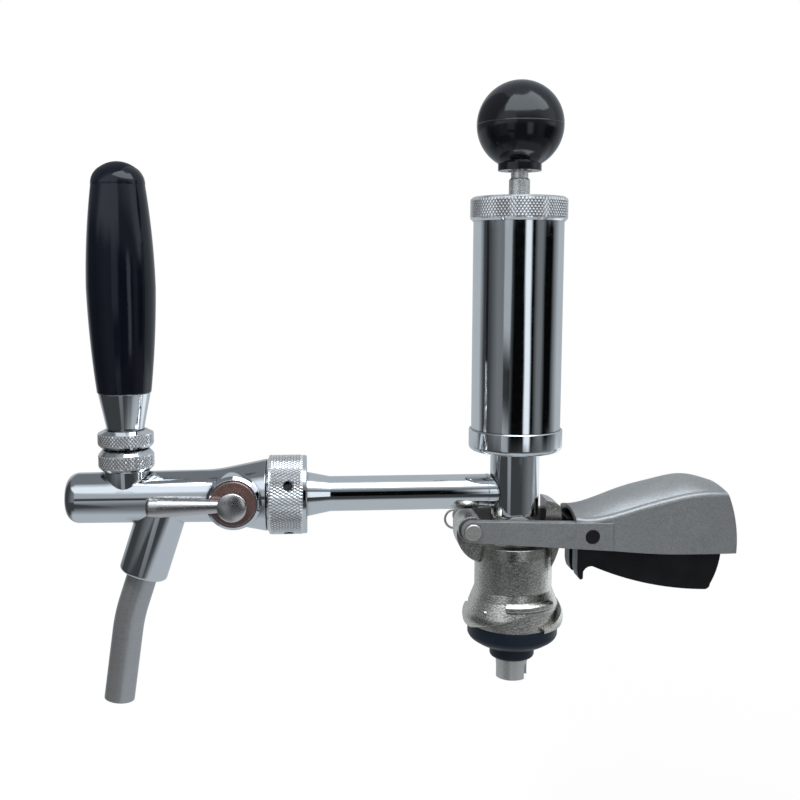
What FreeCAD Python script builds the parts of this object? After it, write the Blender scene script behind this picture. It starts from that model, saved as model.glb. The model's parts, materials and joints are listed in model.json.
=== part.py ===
import FreeCAD, Part
import math
import os
import Sketcher

# Hand pump for a keg: a lever coupler below, an air pump on top and a compensator tap on
# a long shank. Lengths are in millimetres. The column stands on the Z axis with the
# underside of the keg seal at height 0, the shank runs along -X and the lever along +X.

doc = FreeCAD.newDocument("KegPump")
sheet = doc.addObject("Spreadsheet::Sheet", "Sizes")
nodes = []

fits = {
    "runGap": 0.06,          # radial gap of a sliding or turning fit
    "threadGap": 0.05,       # radial gap of a screwed or pushed-in piece
    "freeGap": 0.3,          # gap between pieces that pass each other
    "touchGap": 0.1,         # space left behind a piece that seats on its other side
    "smallEdge": 0.4,        # chamfer that breaks a sharp edge
    "overrun": 1.0,          # how far a cutter runs past what it cuts
    "rooting": 2.0,          # how far a joined form reaches into its neighbour
}

seals = {
    "kegSealHeight": 11.0,
    "kegSealRadius": 21.75,
    "kegSealShoulder": 5.5,
    "kegSealRollHeight": 2.6,
    "kegSealRollRadius": 19.2,
    "kegSealRollArc": 12.0,
    "kegSealShoulderArc": 4.5,
    "kegSealLipHeight": 0.5,
    "kegSealLipRadius": 15.6,
    "kegSealFaceRadius": 13.2,
    "kegSealSpigotRadius": 16.0,
    "kegSealSpigotHeight": 3.0,
    "probeSealRadius": 10.8,
    "probeSealDrop": 6.6,
    "probeSealRise": 3.6,
    "probeSealEdge": 1.5,
    "ringSealDepth": 1.8,
    "ringSealWidth": 2.4,
    "ringSealLower": 27.0,
    "ringSealUpper": 33.0,
}

casting = {
    "skirtRadius": 21.5,
    "skirtHeight": 10.0,
    "coneRadius": 20.4,
    "coneHeight": 23.8,
    "neckRadius": 18.6,
    "neckStart": 28.5,
    "neckEnd": 45.0,
    "rimRadius": 18.0,
    "rimHeight": 50.1,
    "guideFloor": 22.0,
    "gasChamberRadius": 13.5,
    "bandRadius": 22.9,
    "bandLow": 22.0,
    "bandHeight": 3.0,
    "bandEdge": 1.0,
    "bandStart": 251.0,
    "bandSweep": 65.0,
    "lugRadius": 24.1,
    "lugFootRadius": 23.7,
    "lugShoulder": 17.6,
    "lugSideArc": 9.0,
    "lugLean": 0.4,
    "lugLip": 0.4,
    "lugStart": 118.0,
    "lugSweep": 158.0,
    "lugClimb": 19.75,
    "lugDepth": 12.5,
    "lugStartDrop": 10.5,
    "markRadius": 1.8,
    "markHeight": 19.3,
    "markTurn": 222.0,
    "markReach": 23.4,
    "pivotReach": 22.4,
    "pivotRise": 9.2,
    "earRadius": 6.1,
    "earHalf": 7.0,
    "earShoulder": 54.5,
    "earFoot": 42.1,
    "earFootReach": 18.0,
    "earSideArc": 15.2,
    "earBossRadius": 6.2,
    "earBackBossRadius": 4.9,
    "latchReach": 44.5,
    "latchInner": 14.2,
    "latchTop": 71.6,
    "latchCorner": 68.3,
    "latchCrown": 11.0,
    "latchFoot": 39.0,
}

probe_sizes = {
    "guideRadius": 11.6,
    "guideStart": 24.0,
    "guideEnd": 50.3,
    "waistRadius": 10.4,
    "tipRadius": 7.7,
    "tipDrop": 17.0,
    "sealGroove": 7.0,
    "tipBore": 5.9,
    "tipBoreDepth": 7.5,
    "seatBore": 3.9,
    "seatHeight": -4.0,
    "ballChamberRadius": 5.4,
    "ballChamberTop": 8.3,
    "ballRadius": 4.7,
    "ballRest": 0.25,
    "ballPinRadius": 0.8,
    "ballPinHeight": 7.2,
    "tubeSocketTop": 13.0,
    "gasBoreRadius": 6.2,
    "gasBoreTop": 24.0,
    "gasTaper": 2.0,
    "airBoreRadius": 8.0,
    "portRadius": 1.5,
    "portHeight": 17.0,
    "portTurn": 45.0,
    "portCount": 4,
    "tipSlotHalf": 3.4,
    "tipSlotRise": 5.0,
    "tipSlotTurn": -22.0,
    "trunnionBossRadius": 7.3,
    "trunnionBossHalf": 12.4,
    "trunnionRadius": 3.0,
    "trunnionInner": 8.9,
    "beerTubeRadius": 4.4,
    "beerTubeWall": 0.9,
    "beerTubeBend": 8.0,
    "beerTubeTurn": 90.0,
}

stem_sizes = {
    "shankOverEar": 1.4,
    "stemRadius": 11.6,
    "stemFootRise": 3.6,
    "stemFootRound": 2.0,
    "stemFootLand": 0.8,
    "stemBore": 9.4,
    "stemSpigotHeight": 2.3,
    "probeSpigotHeight": 3.9,
    "probeSpigotRadius": 9.3,
    "stemBossRadius": 8.35,
    "stemGrooveWidth": 0.8,
    "stemGrooveDepth": 0.5,
    "stemBossReach": 13.6,
    "shankRadius": 8.2,
    "shankBore": 5.0,
    "shankSpigotRadius": 6.5,
    "shankSpigotStart": 9.6,
    "shankConeLength": 10.8,
    "shankConeRadius": 10.4,
    "shankFlangeRadius": 13.6,
    "shankFlangeWidth": 3.0,
}

pump_sizes = {
    "baseRise": 20.0,
    "baseRadius": 22.1,
    "baseHeight": 10.3,
    "baseFootRound": 2.5,
    "baseFloor": 3.3,
    "baseWeb": 3.0,
    "baseChamberRadius": 9.35,
    "barrelRadius": 21.0,
    "barrelWall": 1.2,
    "gasketHeight": 1.0,
    "gasketLip": 0.6,
    "capBottom": 202.0,
    "capRadius": 22.25,
    "capHeight": 11.0,
    "capChamfer": 1.0,
    "capPlate": 5.0,
    "ventRadius": 1.0,
    "ventPitch": 14.0,
    "ventTurn": 45.0,
    "ventCount": 4,
    "bushRadius": 8.0,
    "bushFlangeRadius": 10.0,
    "bushFlangeHeight": 1.5,
    "airValveRadius": 6.0,
    "airValveDisc": 0.8,
    "airValveStem": 1.9,
    "airValveBulb": 2.6,
    "airValveBulbHeight": 1.6,
    "airHoleRadius": 0.8,
    "airHolePitch": 4.2,
    "airHoleCount": 6,
}

plunger_sizes = {
    "rodRadius": 4.85,
    "rodFoot": 105.0,
    "rodShoulder": 116.0,
    "rodScrewRadius": 3.0,
    "rodTop": 221.6,
    "rodNeckChamfer": 0.7,
    "knobScrewRadius": 4.0,
    "knobScrewLength": 17.0,
    "knobRadius": 20.0,
    "knobFoot": 225.0,
    "knobNeckRadius": 10.0,
    "knobNeckHeight": 3.3,
    "insertRadius": 5.6,
    "insertFlangeRadius": 7.4,
    "insertFlangeHeight": 2.4,
    "insertDepth": 18.0,
    "insertBoreGap": 0.6,
    "plateHeight": 3.0,
    "plateRadius": 18.5,
    "plateEdge": 0.8,
    "cupHeight": 8.0,
    "cupTop": 2.5,
    "cupWall": 2.0,
    "cupLip": 1.2,
    "pistonNutRadius": 6.0,
    "pistonNutHeight": 4.0,
}

lever_sizes = {
    "armInner": 12.8,
    "armOuter": 17.3,
    "armEndRadius": 5.0,
    "armRoot": 44.0,
    "armRootTop": 62.3,
    "armRootFoot": 49.0,
    "slotTilt": 3.6,
    "leverSwing": 32.0,
    "slotPlay": 0.52,
    "slotDepth": 3.1,
    "trunnionReach": 15.6,
    "frontStation": 26.5,
    "frontHalf": 15.8,
    "frontFoot": 50.5,
    "frontRidge": 64.9,
    "frontCrown": 2.6,
    "throatStep": 11.5,
    "throatHalf": 16.6,
    "throatFoot": 49.5,
    "throatRidge": 64.4,
    "throatCrown": 5.6,
    "riseStep": 14.0,
    "riseHalf": 17.5,
    "riseFoot": 48.3,
    "riseRidge": 68.0,
    "riseCrown": 7.2,
    "palmStep": 18.0,
    "palmHalf": 18.0,
    "palmFoot": 47.1,
    "palmRidge": 72.9,
    "palmCrown": 6.9,
    "heelStep": 16.0,
    "heelHalf": 18.0,
    "heelFoot": 46.8,
    "heelRidge": 75.8,
    "heelCrown": 5.7,
    "brinkStep": 10.0,
    "brinkHalf": 17.8,
    "brinkFoot": 46.7,
    "brinkRidge": 76.2,
    "brinkCrown": 2.5,
    "endStep": 8.4,
    "endHalf": 17.2,
    "endFoot": 46.6,
    "endRidge": 75.8,
    "endCrown": 0.8,
    "endFaceInset": 0.6,
    "endFaceArc": 63.0,
    "endFaceSlope": 5.4,
    "endFaceRise": 0.4,
    "endFaceLean": 1.6,
    "endFaceRoom": 7.0,
    "ridgeRound": 2.2,
    "ridgeArc": 1.08,        # of the corner, so the arc runs on into side and crown
    "ridgeInset": 0.8,       # of the wall, taken off the ridge of the hollow
    "crownLift": 0.12,       # of the crown, that the ridges take up
    "handleWall": 2.4,
    "hollowDrop": 2.0,
    "triggerPinReach": 34.1,
    "triggerPinHeight": 56.1,
    "triggerPinRadius": 3.3,
    "triggerPinProud": 0.2,
    "springWire": 0.5,
    "springPitch": 2.3,      # of one turn, in wire radii
    "springTurns": 6,
}

trigger_sizes = {
    "triggerHalf": 12.2,
    "triggerCheek": 2.4,
    "triggerFront": 28.4,
    "triggerWall": 2.9,
    "triggerTop": 60.8,
    "hookBend": 40.0,
    "hookTipReach": 30.3,
    "hookTip": 33.8,
    "hookFrontArc": 14.0,
    "hookTipRound": 1.0,
    "hookTipArc": 1.05,      # of the tip's half width
    "hookBackHeight": 37.6,
    "hookArch": 4.0,
    "hookArchInset": 0.4,
    "bellyStartReach": 36.4,
    "bellyStartHeight": 40.3,
    "bellyEndReach": 91.0,
    "bellyEndHeight": 27.8,
    "bellyArc": 145.0,
    "bellySkin": 2.5,
    "tailCorner": 2.6,
    "tailArc": 40.0,
    "tailReach": 98.4,
    "tailTop": 50.0,
    "cheekBackReach": 39.6,
    "cheekLowReach": 50.0,
    "cheekLowHeight": 51.5,
    "forkSlotHalf": 3.0,
    "forkSlotTop": 52.0,
    "noseHalf": 6.0,
    "noseRoot": 0.5,
    "noseFace": 2.0,
    "noseShoulder": 1.4,
    "noseReach": 23.0,
    "noseFoot": 52.5,
    "noseFootReach": 25.0,
    "noseBend": 55.0,
    "noseTop": 62.6,
    "noseTopReach": 24.6,
}

pin_sizes = {
    "pivotPinRadius": 3.0,
    "pivotHeadRadius": 3.9,
    "pivotHeadHeight": 1.0,
    "pivotTailRadius": 2.6,
    "pivotTailLength": 4.4,
    "ringHoleRadius": 1.45,
    "ringHoleOffset": 2.3,
    "ringRadius": 4.7,
    "ringWire": 0.6,
    "ringShift": 0.34,
    "ringTurn": 35.0,
}

tap_sizes = {
    "noseBehindHandle": 27.7,
    "noseDome": 0.5,
    "noseFaceRadius": 6.0,
    "noseCorner": 5.8,
    "noseRadius": 11.6,
    "noseLength": 5.8,
    "bodyRadius": 12.2,
    "waistBehindFlare": 9.0,
    "flareStartRadius": 13.2,
    "flareArc": 60.0,
    "flareRadius": 16.8,
    "flareLength": 18.8,
    "flareChamfer": 0.6,
    "spigotRadius": 14.3,
    "spigotLength": 9.9,
    "inletBore": 9.0,
    "taperBehindHub": 2.0,
    "taperLength": 12.0,
    "seatBoreRadius": 7.6,
    "seatBehindHub": 24.0,
    "seatRingWidth": 3.0,
    "seatRingBore": 5.2,
    "valveBore": 7.0,
    "boreBehindHandle": 20.4,
    "handleBehindSeat": 25.6,
    "boreOfBoss": 6.95,
    "bossRadius": 10.4,
    "bossHeight": 13.0,
    "bossSpigotRadius": 9.0,
    "bossSpigotHeight": 17.0,
    "washerWidth": 2.0,
    "washerBore": 9.0,
}

nut_sizes = {
    "nutStart": 98.8,
    "nutRadius": 18.3,
    "nutEndWall": 3.4,
    "nutChamfer": 1.6,
    "nutHoleRadius": 10.7,
    "spannerHoleRadius": 2.15,
    "spannerHoleDepth": 3.0,
    "spannerHoleTurn": 24.0,
    "spannerHoleInset": 8.6,
    "spannerHoleCount": 4,
}

collar_sizes = {
    "collarRadius": 12.3,
    "collarTop": 22.8,
    "collarLip": 1.7,
    "collarFlat": 10.5,
    "collarSlope": 2.1,
    "collarFootSlope": 1.5,
    "collarBore": 6.4,
    "seatRingInner": 6.0,
    "handleBallHeight": 13.5,
    "handleBallRadius": 6.65,
    "leverNeckRadius": 3.5,
    "leverScrewRadius": 4.0,
    "fingerRadius": 2.0,
    "fingerTipRadius": 2.4,
    "jamNutFoot": 23.8,
    "jamNutHeight": 7.9,
    "jamNutChamfer": 1.0,
    "jamNutTopSlope": 2.6,
    "jamNutDishRadius": 10.4,
    "jamNutDishDepth": 1.5,
    "ferruleFootRadius": 8.4,
    "ferruleTopRadius": 11.7,
    "ferruleHeight": 17.0,
    "ferruleLip": 0.15,
    "ferruleLipHeight": 1.2,
    "gripFootRadius": 12.1,
    "gripBellyRadius": 15.3,
    "gripBellyHeight": 48.0,
    "gripLowArc": 480.0,
    "gripHighArc": 365.0,
    "gripShoulderRadius": 11.9,
    "gripShoulderHeight": 93.0,
    "gripCrownRadius": 7.8,
    "gripCrownHeight": 101.0,
    "gripCrownArc": 8.6,
    "gripHeight": 103.6,
    "gripScrewDepth": 34.0,
}

valve_sizes = {
    "shaftRadius": 2.6,
    "landAhead": 11.1,
    "landBehind": 10.9,
    "discRadius": 6.3,
    "discWidth": 1.6,
    "discSealWidth": 1.5,
    "fingerSlotDepth": 3.4,
    "fingerSlotRelief": 4.5,
}

spout_sizes = {
    "spoutBehindSeat": 7.5,
    "spoutLean": 18.4,
    "spoutBossRadius": 11.15,
    "spoutBossLength": 38.6,
    "spoutBossRound": 1.6,
    "spoutRadius": 7.0,
    "spoutWall": 1.0,
    "spoutSocket": 20.0,
    "spoutRun": 32.6,
    "spoutBendRadius": 82.0,
    "spoutBend": 10.0,
    "spoutTail": 33.6,
    "spoutRingSeat": 30.0,
    "spoutRingDepth": 1.5,
    "spoutRingWidth": 2.4,
}

compensator_sizes = {
    "hubBehindFlare": 14.8,
    "hubBossRadius": 12.4,
    "hubBossLength": 18.6,
    "hubBossChamfer": 1.4,
    "glandRadius": 8.9,
    "glandFaceRadius": 10.2,
    "glandFace": 19.2,
    "glandFlange": 1.6,
    "glandDepth": 9.0,
    "glandThroat": 7.6,
    "hubRadius": 6.0,
    "hubEnd": 26.2,
    "hubEndRound": 1.0,
    "hubDome": 0.3,
    "hubShaftRadius": 5.0,
    "hubShaftEnd": 8.2,
    "glandRingHeight": 2.0,
    "crankThrow": 3.0,
    "crankPinRadius": 1.25,
    "crankPinEnd": 5.4,
    "rodAxis": 22.6,
    "rodRootRadius": 2.8,
    "rodFullRadius": 4.6,
    "rodFullReach": 32.5,
    "rodReach": 37.5,
    "rodTipRadius": 3.6,
    "rodTipChamfer": 1.2,
    "coneShaftRadius": 5.5,
    "coneLandRadius": 7.6,
    "coneGrooveRadius": 5.0,
    "coneGrooveHalf": 1.75,
    "coneLandWidth": 2.25,
    "coneTipBehindHub": 10.5,
    "coneTipRadius": 4.0,
    "coneGuideInset": 3.2,
    "coneGuideWidth": 3.5,
    "coneFluteRadius": 1.4,
    "coneFlutePitch": 7.0,
    "coneFluteCount": 6,
}


class Size:
    """A length or an angle: its number, and the sheet formula that gives it."""

    def __init__(self, number, formula=None):
        self.number = float(number)
        self.formula = formula or repr(self.number)

    def __add__(self, other):
        other = as_size(other)
        return Size(self.number + other.number, "(%s + %s)" % (self.formula, other.formula))

    def __sub__(self, other):
        other = as_size(other)
        return Size(self.number - other.number, "(%s - %s)" % (self.formula, other.formula))

    def __mul__(self, other):
        other = as_size(other)
        return Size(self.number * other.number, "(%s * %s)" % (self.formula, other.formula))

    def __truediv__(self, other):
        other = as_size(other)
        return Size(self.number / other.number, "(%s / %s)" % (self.formula, other.formula))

    def __neg__(self):
        return Size(-self.number, "(0 - %s)" % self.formula)


def as_size(value):
    return value if isinstance(value, Size) else Size(value)


def root(value):
    return Size(math.sqrt(value.number), "sqrt(%s)" % value.formula)


def sine(angle):
    return Size(math.sin(math.radians(angle.number)), "sin(%s)" % angle.formula)


def cosine(angle):
    return Size(math.cos(math.radians(angle.number)), "cos(%s)" % angle.formula)


def tangent(angle):
    return sine(angle) / cosine(angle)


class SizeBook:
    """Gives each named size of the sheet as a Size."""

    def __init__(self):
        self.row = 0

    def fill(self, group):
        for name, number in group.items():
            self.row += 1
            sheet.set("A%d" % self.row, name)
            sheet.set("B%d" % self.row, repr(number))
            sheet.setAlias("B%d" % self.row, name)
            setattr(self, name, Size(number, "%s.%s" % (sheet.Name, name)))


book = SizeBook()
for size_group in (fits, seals, casting, probe_sizes, stem_sizes, pump_sizes, plunger_sizes,
                   lever_sizes, trigger_sizes, pin_sizes, tap_sizes, nut_sizes, collar_sizes,
                   valve_sizes, spout_sizes, compensator_sizes):
    book.fill(size_group)
doc.recompute()

# Places that follow from their neighbours: heights up the column, stations along the
# handle, then distances from the column's axis along the shank and the tap.
book.pivotHeight = book.rimHeight + book.pivotRise
book.stemFoot = book.pivotHeight + book.stemFootRise
book.tapAxisHeight = (book.pivotHeight + book.earRadius + book.shankOverEar
                      + book.shankRadius)
book.baseFoot = book.tapAxisHeight + book.baseRise
book.throatStation = book.frontStation + book.throatStep
book.riseStation = book.throatStation + book.riseStep
book.palmStation = book.riseStation + book.palmStep
book.heelStation = book.palmStation + book.heelStep
book.brinkStation = book.heelStation + book.brinkStep
book.endStation = book.brinkStation + book.endStep
book.endFaceReach = book.endStation - book.endFaceInset
book.endFaceTopReach = book.endFaceReach - book.endFaceSlope
book.endFaceTop = book.endRidge + book.endFaceRise
book.shankConeStart = book.nutStart - book.shankConeLength
book.flangeStart = book.nutStart + book.nutEndWall + book.touchGap
book.flangeFace = book.flangeStart + book.shankFlangeWidth
book.inletFace = book.flangeFace + book.washerWidth
book.coneGuideStart = book.inletFace + book.coneGuideInset
book.flareEnd = book.inletFace + book.spigotLength
book.flareStart = book.flareEnd + book.flareLength
book.bodyWaist = book.flareStart + book.waistBehindFlare
book.hubReach = book.flareEnd + book.hubBehindFlare
book.coneEnd = book.hubReach + book.coneTipBehindHub
book.taperStart = book.hubReach + book.taperBehindHub
book.taperEnd = book.taperStart + book.taperLength
book.seatShelf = book.hubReach + book.seatBehindHub
book.spoutReach = book.seatShelf + book.spoutBehindSeat
book.handleReach = book.seatShelf + book.handleBehindSeat
book.landStart = book.handleReach - book.landAhead
book.landEnd = book.handleReach + book.landBehind
book.valveBoreEnd = book.handleReach + book.boreBehindHandle
book.noseEnd = book.handleReach + book.noseBehindHandle
book.noseStart = book.noseEnd - book.noseLength

up = FreeCAD.Vector(0, 0, 1)
to_tap = FreeCAD.Vector(-1, 0, 0)
to_lever = FreeCAD.Vector(1, 0, 0)
to_front = FreeCAD.Vector(0, -1, 0)
nowhere = (Size(0), Size(0), Size(0))


def bind(thing, name, value):
    thing.setExpression(name, as_size(value).formula)


def place(thing, at=nowhere, along=up, turn=0.0):
    """Stands a thing at a point, with its own Z along a direction, turned about that."""
    rotation = FreeCAD.Rotation(up, along).multiply(FreeCAD.Rotation(up, turn))
    point = FreeCAD.Vector(*[as_size(value).number for value in at])
    thing.Placement = FreeCAD.Placement(point, rotation)
    for axis, value in zip("xyz", at):
        bind(thing, "Placement.Base." + axis, value)
    return thing


def keep(thing, label):
    """Marks an object as a finished piece, under the name it is known by."""
    thing.Label = label
    nodes.append(thing)
    return thing


def origin_plane(body, role):
    return next(f for f in body.Origin.OriginFeatures if f.Role == role)


def sketch_on(body, role, offset=None):
    sketch = body.newObject("Sketcher::SketchObject", body.Name + "_sketch")
    sketch.AttachmentSupport = [(origin_plane(body, role), "")]
    sketch.MapMode = "FlatFace"
    if offset is not None:
        bind(sketch, "AttachmentOffset.Base.z", offset)
    return sketch


def arc_between(first, last, radius, turn):
    """The shorter arc between two points, its centre left (+1) or right (-1) of the way."""
    chord = last - first
    half = chord.Length / 2
    rise = math.sqrt(max(radius * radius - half * half, 0.0))
    left = FreeCAD.Vector(-chord.y, chord.x, 0).normalize()
    centre = (first + last) * 0.5 + left * (rise * turn)
    start, end = (first, last) if turn > 0 else (last, first)
    begin = math.atan2(start.y - centre.y, start.x - centre.x)
    finish = math.atan2(end.y - centre.y, end.x - centre.x)
    if finish < begin:
        finish += 2 * math.pi
    circle = Part.Circle(centre, up, radius)
    return Part.ArcOfCircle(circle, begin, finish)


def draw(sketch, corners):
    """Closes an outline through corners (x, y), or (x, y, radius, turn) where the way to
    the corner is an arc, and ties every corner and radius to the sheet."""
    points = [FreeCAD.Vector(as_size(c[0]).number, as_size(c[1]).number, 0) for c in corners]
    count = len(corners)
    geometry = []
    ends = []
    for index in range(count):
        target = (index + 1) % count
        corner = corners[target]
        if len(corner) == 2:
            geometry.append(Part.LineSegment(points[index], points[target]))
            ends.append((1, 2))
        else:
            radius, turn = as_size(corner[2]).number, corner[3]
            geometry.append(arc_between(points[index], points[target], radius, turn))
            ends.append((1, 2) if turn > 0 else (2, 1))
    sketch.addGeometry(geometry, False)
    rules = []
    formulas = []
    for index in range(count):
        after = (index + 1) % count
        rules.append(Sketcher.Constraint("Coincident", index, ends[index][1], after, ends[after][0]))
        formulas.append(None)
    for index, corner in enumerate(corners):
        for kind, value in (("DistanceX", corner[0]), ("DistanceY", corner[1])):
            value = as_size(value)
            rules.append(Sketcher.Constraint(kind, index, ends[index][0], value.number))
            formulas.append(value.formula)
    for index in range(count):
        corner = corners[(index + 1) % count]
        if len(corner) > 2:
            rules.append(Sketcher.Constraint("Radius", index, as_size(corner[2]).number))
            formulas.append(as_size(corner[2]).formula)
    sketch.addConstraint(rules)
    for index, formula in enumerate(formulas):
        if formula:
            sketch.setExpression("Constraints[%d]" % index, formula)
    return sketch


def turned(name, corners, at=nowhere, along=up, turn=0.0):
    """A piece turned on a lathe: corners are (radius, height) along its own axis."""
    body = doc.addObject("PartDesign::Body", name)
    sketch = draw(sketch_on(body, "XZ_Plane"), corners)
    spin = body.newObject("PartDesign::Revolution", name + "_turning")
    spin.Profile = sketch
    spin.ReferenceAxis = (sketch, ["V_Axis"])
    spin.Angle = 360.0
    return place(body, at, along, turn)


def plate(name, corners, half, at=nowhere):
    """A piece with one outline in XZ, as thick on both sides of the middle plane."""
    body = doc.addObject("PartDesign::Body", name)
    sketch = draw(sketch_on(body, "XZ_Plane"), corners)
    pad = body.newObject("PartDesign::Pad", name + "_plate")
    pad.Profile = sketch
    pad.Midplane = True
    bind(pad, "Length", half * 2)
    return place(body, at)


def rod(name, radius, length, at=nowhere, along=up):
    piece = doc.addObject("Part::Cylinder", name)
    bind(piece, "Radius", radius)
    bind(piece, "Height", length)
    return place(piece, at, along)


def ball(name, radius, at=nowhere):
    piece = doc.addObject("Part::Sphere", name)
    bind(piece, "Radius", radius)
    return place(piece, at)


def block(name, size, at):
    """A box given by its three lengths and its lowest corner."""
    piece = doc.addObject("Part::Box", name)
    for side, value in zip(("Length", "Width", "Height"), size):
        bind(piece, side, value)
    return place(piece, at)


def fuse(name, pieces):
    joined = doc.addObject("Part::MultiFuse", name)
    joined.Shapes = pieces
    joined.Refine = True
    return joined


def cut(name, base, tools):
    """Takes the tools out of the base, one after another."""
    for index, tool in enumerate(tools):
        last = index == len(tools) - 1
        rest = doc.addObject("Part::Cut", name if last else "%s_cut_%d" % (name, index))
        rest.Base = base
        rest.Tool = tool
        rest.Refine = True
        base = rest
    return base


def ring_of(name, make, count):
    """Copies of a cutter set evenly about its axis: make(angle) gives each one."""
    return fuse(name, [make(index, 360.0 * index / count) for index in range(count)])


def polar(radius, angle):
    """The x and y of a point at a radius and a fixed angle in degrees."""
    return (radius * math.cos(math.radians(angle)), radius * math.sin(math.radians(angle)))


def make_keg_seal():
    bore = book.probeSealRadius + book.freeGap + book.touchGap
    keep(turned("keg_seal", [
        (bore, Size(0)),
        (book.kegSealFaceRadius, Size(0)),
        (book.kegSealLipRadius, book.kegSealLipHeight),
        (book.kegSealRollRadius, book.kegSealRollHeight, book.kegSealRollArc, 1),
        (book.kegSealRadius, book.kegSealShoulder, book.kegSealShoulderArc, 1),
        (book.kegSealRadius, book.kegSealHeight),
        (book.kegSealSpigotRadius, book.kegSealHeight),
        (book.kegSealSpigotRadius, book.kegSealHeight + book.kegSealSpigotHeight),
        (bore, book.kegSealHeight + book.kegSealSpigotHeight),
    ]), "keg_seal")


def make_casting():
    foot = book.kegSealHeight
    bore = book.guideRadius + book.runGap
    seat = book.kegSealSpigotRadius + book.threadGap
    seat_top = foot + book.kegSealSpigotHeight
    shell = turned("coupler_shell", [
        (seat, foot),
        (book.skirtRadius, foot),
        (book.skirtRadius, foot + book.skirtHeight),
        (book.coneRadius, book.coneHeight),
        (book.neckRadius, book.neckStart),
        (book.neckRadius, book.neckEnd),
        (book.rimRadius, book.rimHeight),
        (bore, book.rimHeight),
        (bore, book.guideFloor),
        (book.gasChamberRadius, book.guideFloor),
        (book.gasChamberRadius, seat_top),
        (seat, seat_top),
    ])
    forged = fuse("coupler_forged", [shell] + make_lugs(foot) + make_bands() + make_ear_bosses()
                  + [make_ear(), make_latch_rib(), make_mark()])
    bore_clear = rod("guide_clear", bore, book.rimHeight, (Size(0), Size(0), book.guideFloor))
    pin_hole = rod("pivot_hole", book.pivotPinRadius + book.threadGap, book.armInner * 4,
                   (-book.pivotReach, book.armInner * 2, book.pivotHeight), to_front)
    chamber_clear = rod("chamber_clear", book.gasChamberRadius, book.guideFloor - seat_top,
                        (Size(0), Size(0), seat_top))
    keep(cut("coupler_body", forged, [bore_clear, pin_hole, chamber_clear]), "coupler_body")


def make_lugs(foot):
    """Two bayonet lugs: a helical band, kept where it lies inside the flange's envelope."""
    inner = book.skirtRadius - book.overrun
    envelope = turned("lug_envelope", [
        (inner, foot),
        (book.lugFootRadius, foot),
        (book.lugRadius - book.lugLean, book.lugShoulder, book.lugSideArc, 1),
        (book.coneRadius, book.coneHeight + book.lugLip),
        (inner - book.rooting, book.coneHeight + book.lugLip),
    ])
    lugs = []
    for index, half_turn in enumerate((0.0, 180.0)):
        helix = doc.addObject("Part::Helix", "lug_path_%d" % index)
        bind(helix, "Pitch", book.lugClimb * 360 / book.lugSweep)
        bind(helix, "Height", book.lugClimb)
        bind(helix, "Radius", book.skirtRadius)
        section = doc.addObject("Sketcher::SketchObject", "lug_section_%d" % index)
        section.Placement = FreeCAD.Placement(FreeCAD.Vector(), FreeCAD.Rotation(to_lever, 90))
        draw(section, [
            (inner - book.rooting, Size(0)),
            (book.lugRadius + book.rooting, Size(0)),
            (book.lugRadius + book.rooting, book.lugDepth),
            (inner - book.rooting, book.lugDepth),
        ])
        band = doc.addObject("Part::Sweep", "lug_band_%d" % index)
        band.Sections = [section]
        band.Spine = (helix, [])
        band.Solid = True
        band.Frenet = True
        turn = FreeCAD.Rotation(up, book.lugStart.number + half_turn)
        band.Placement = FreeCAD.Placement(FreeCAD.Vector(), turn)
        bind(band, "Placement.Rotation.Angle", book.lugStart + half_turn)
        bind(band, "Placement.Base.z", foot - book.lugStartDrop)
        lug = doc.addObject("Part::Common", "lug_%d" % index)
        lug.Base = band
        lug.Tool = envelope
        lugs.append(lug)
    return lugs


def make_bands():
    """The low ribs that close the front and the back of the flange above the skirt."""
    bands = []
    for index, half_turn in enumerate((0.0, 180.0)):
        body = doc.addObject("PartDesign::Body", "flange_band_%d" % index)
        sketch = draw(sketch_on(body, "XZ_Plane"), [
            (book.neckRadius - book.rooting, book.bandLow),
            (book.bandRadius, book.bandLow),
            (book.bandRadius, book.bandLow + book.bandHeight - book.bandEdge),
            (book.bandRadius - book.bandEdge, book.bandLow + book.bandHeight),
            (book.neckRadius - book.rooting, book.bandLow + book.bandHeight),
        ])
        spin = body.newObject("PartDesign::Revolution", body.Name + "_turning")
        spin.Profile = sketch
        spin.ReferenceAxis = (sketch, ["V_Axis"])
        bind(spin, "Angle", book.bandSweep)
        start = FreeCAD.Rotation(up, book.bandStart.number + half_turn)
        body.Placement = FreeCAD.Placement(FreeCAD.Vector(), start)
        bands.append(body)
    return bands


def make_mark():
    """A small round raised point of the casting, low on its left front."""
    angle = book.markTurn.number
    direction = FreeCAD.Vector(*polar(1.0, angle), 0)
    start = book.skirtRadius - book.rooting
    x, y = polar(1.0, angle)
    return rod("cast_mark", book.markRadius, book.markReach - start,
               (start * x, start * y, book.markHeight), direction)


def make_ear():
    """The ear that carries the lever's pivot, on the tap side."""
    outer = -(book.pivotReach + book.earRadius)
    inner = -(book.pivotReach - book.earRadius)
    return plate("pivot_ear", [
        (inner, book.earFoot + book.earRadius),
        (inner, book.pivotHeight),
        (-book.pivotReach, book.pivotHeight + book.earRadius, book.earRadius, 1),
        (outer, book.pivotHeight, book.earRadius, 1),
        (outer, book.earShoulder),
        (-book.earFootReach, book.earFoot, book.earSideArc, 1),
    ], book.earHalf)


def make_ear_bosses():
    """The round bosses that fill the space between the ear and the lever's arms."""
    reach = book.armInner - book.freeGap
    front = rod("ear_boss_front", book.earBossRadius, reach,
                (-book.pivotReach, Size(0), book.pivotHeight), to_front)
    back = rod("ear_boss_back", book.earBackBossRadius, reach,
               (-book.pivotReach, reach, book.pivotHeight), to_front)
    return [front, back]


def on_latch_arc(height, reach):
    """The x at a height on a circle about the lever's pivot."""
    rise = height - book.pivotHeight
    return root(reach * reach - rise * rise) - book.pivotReach


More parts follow.
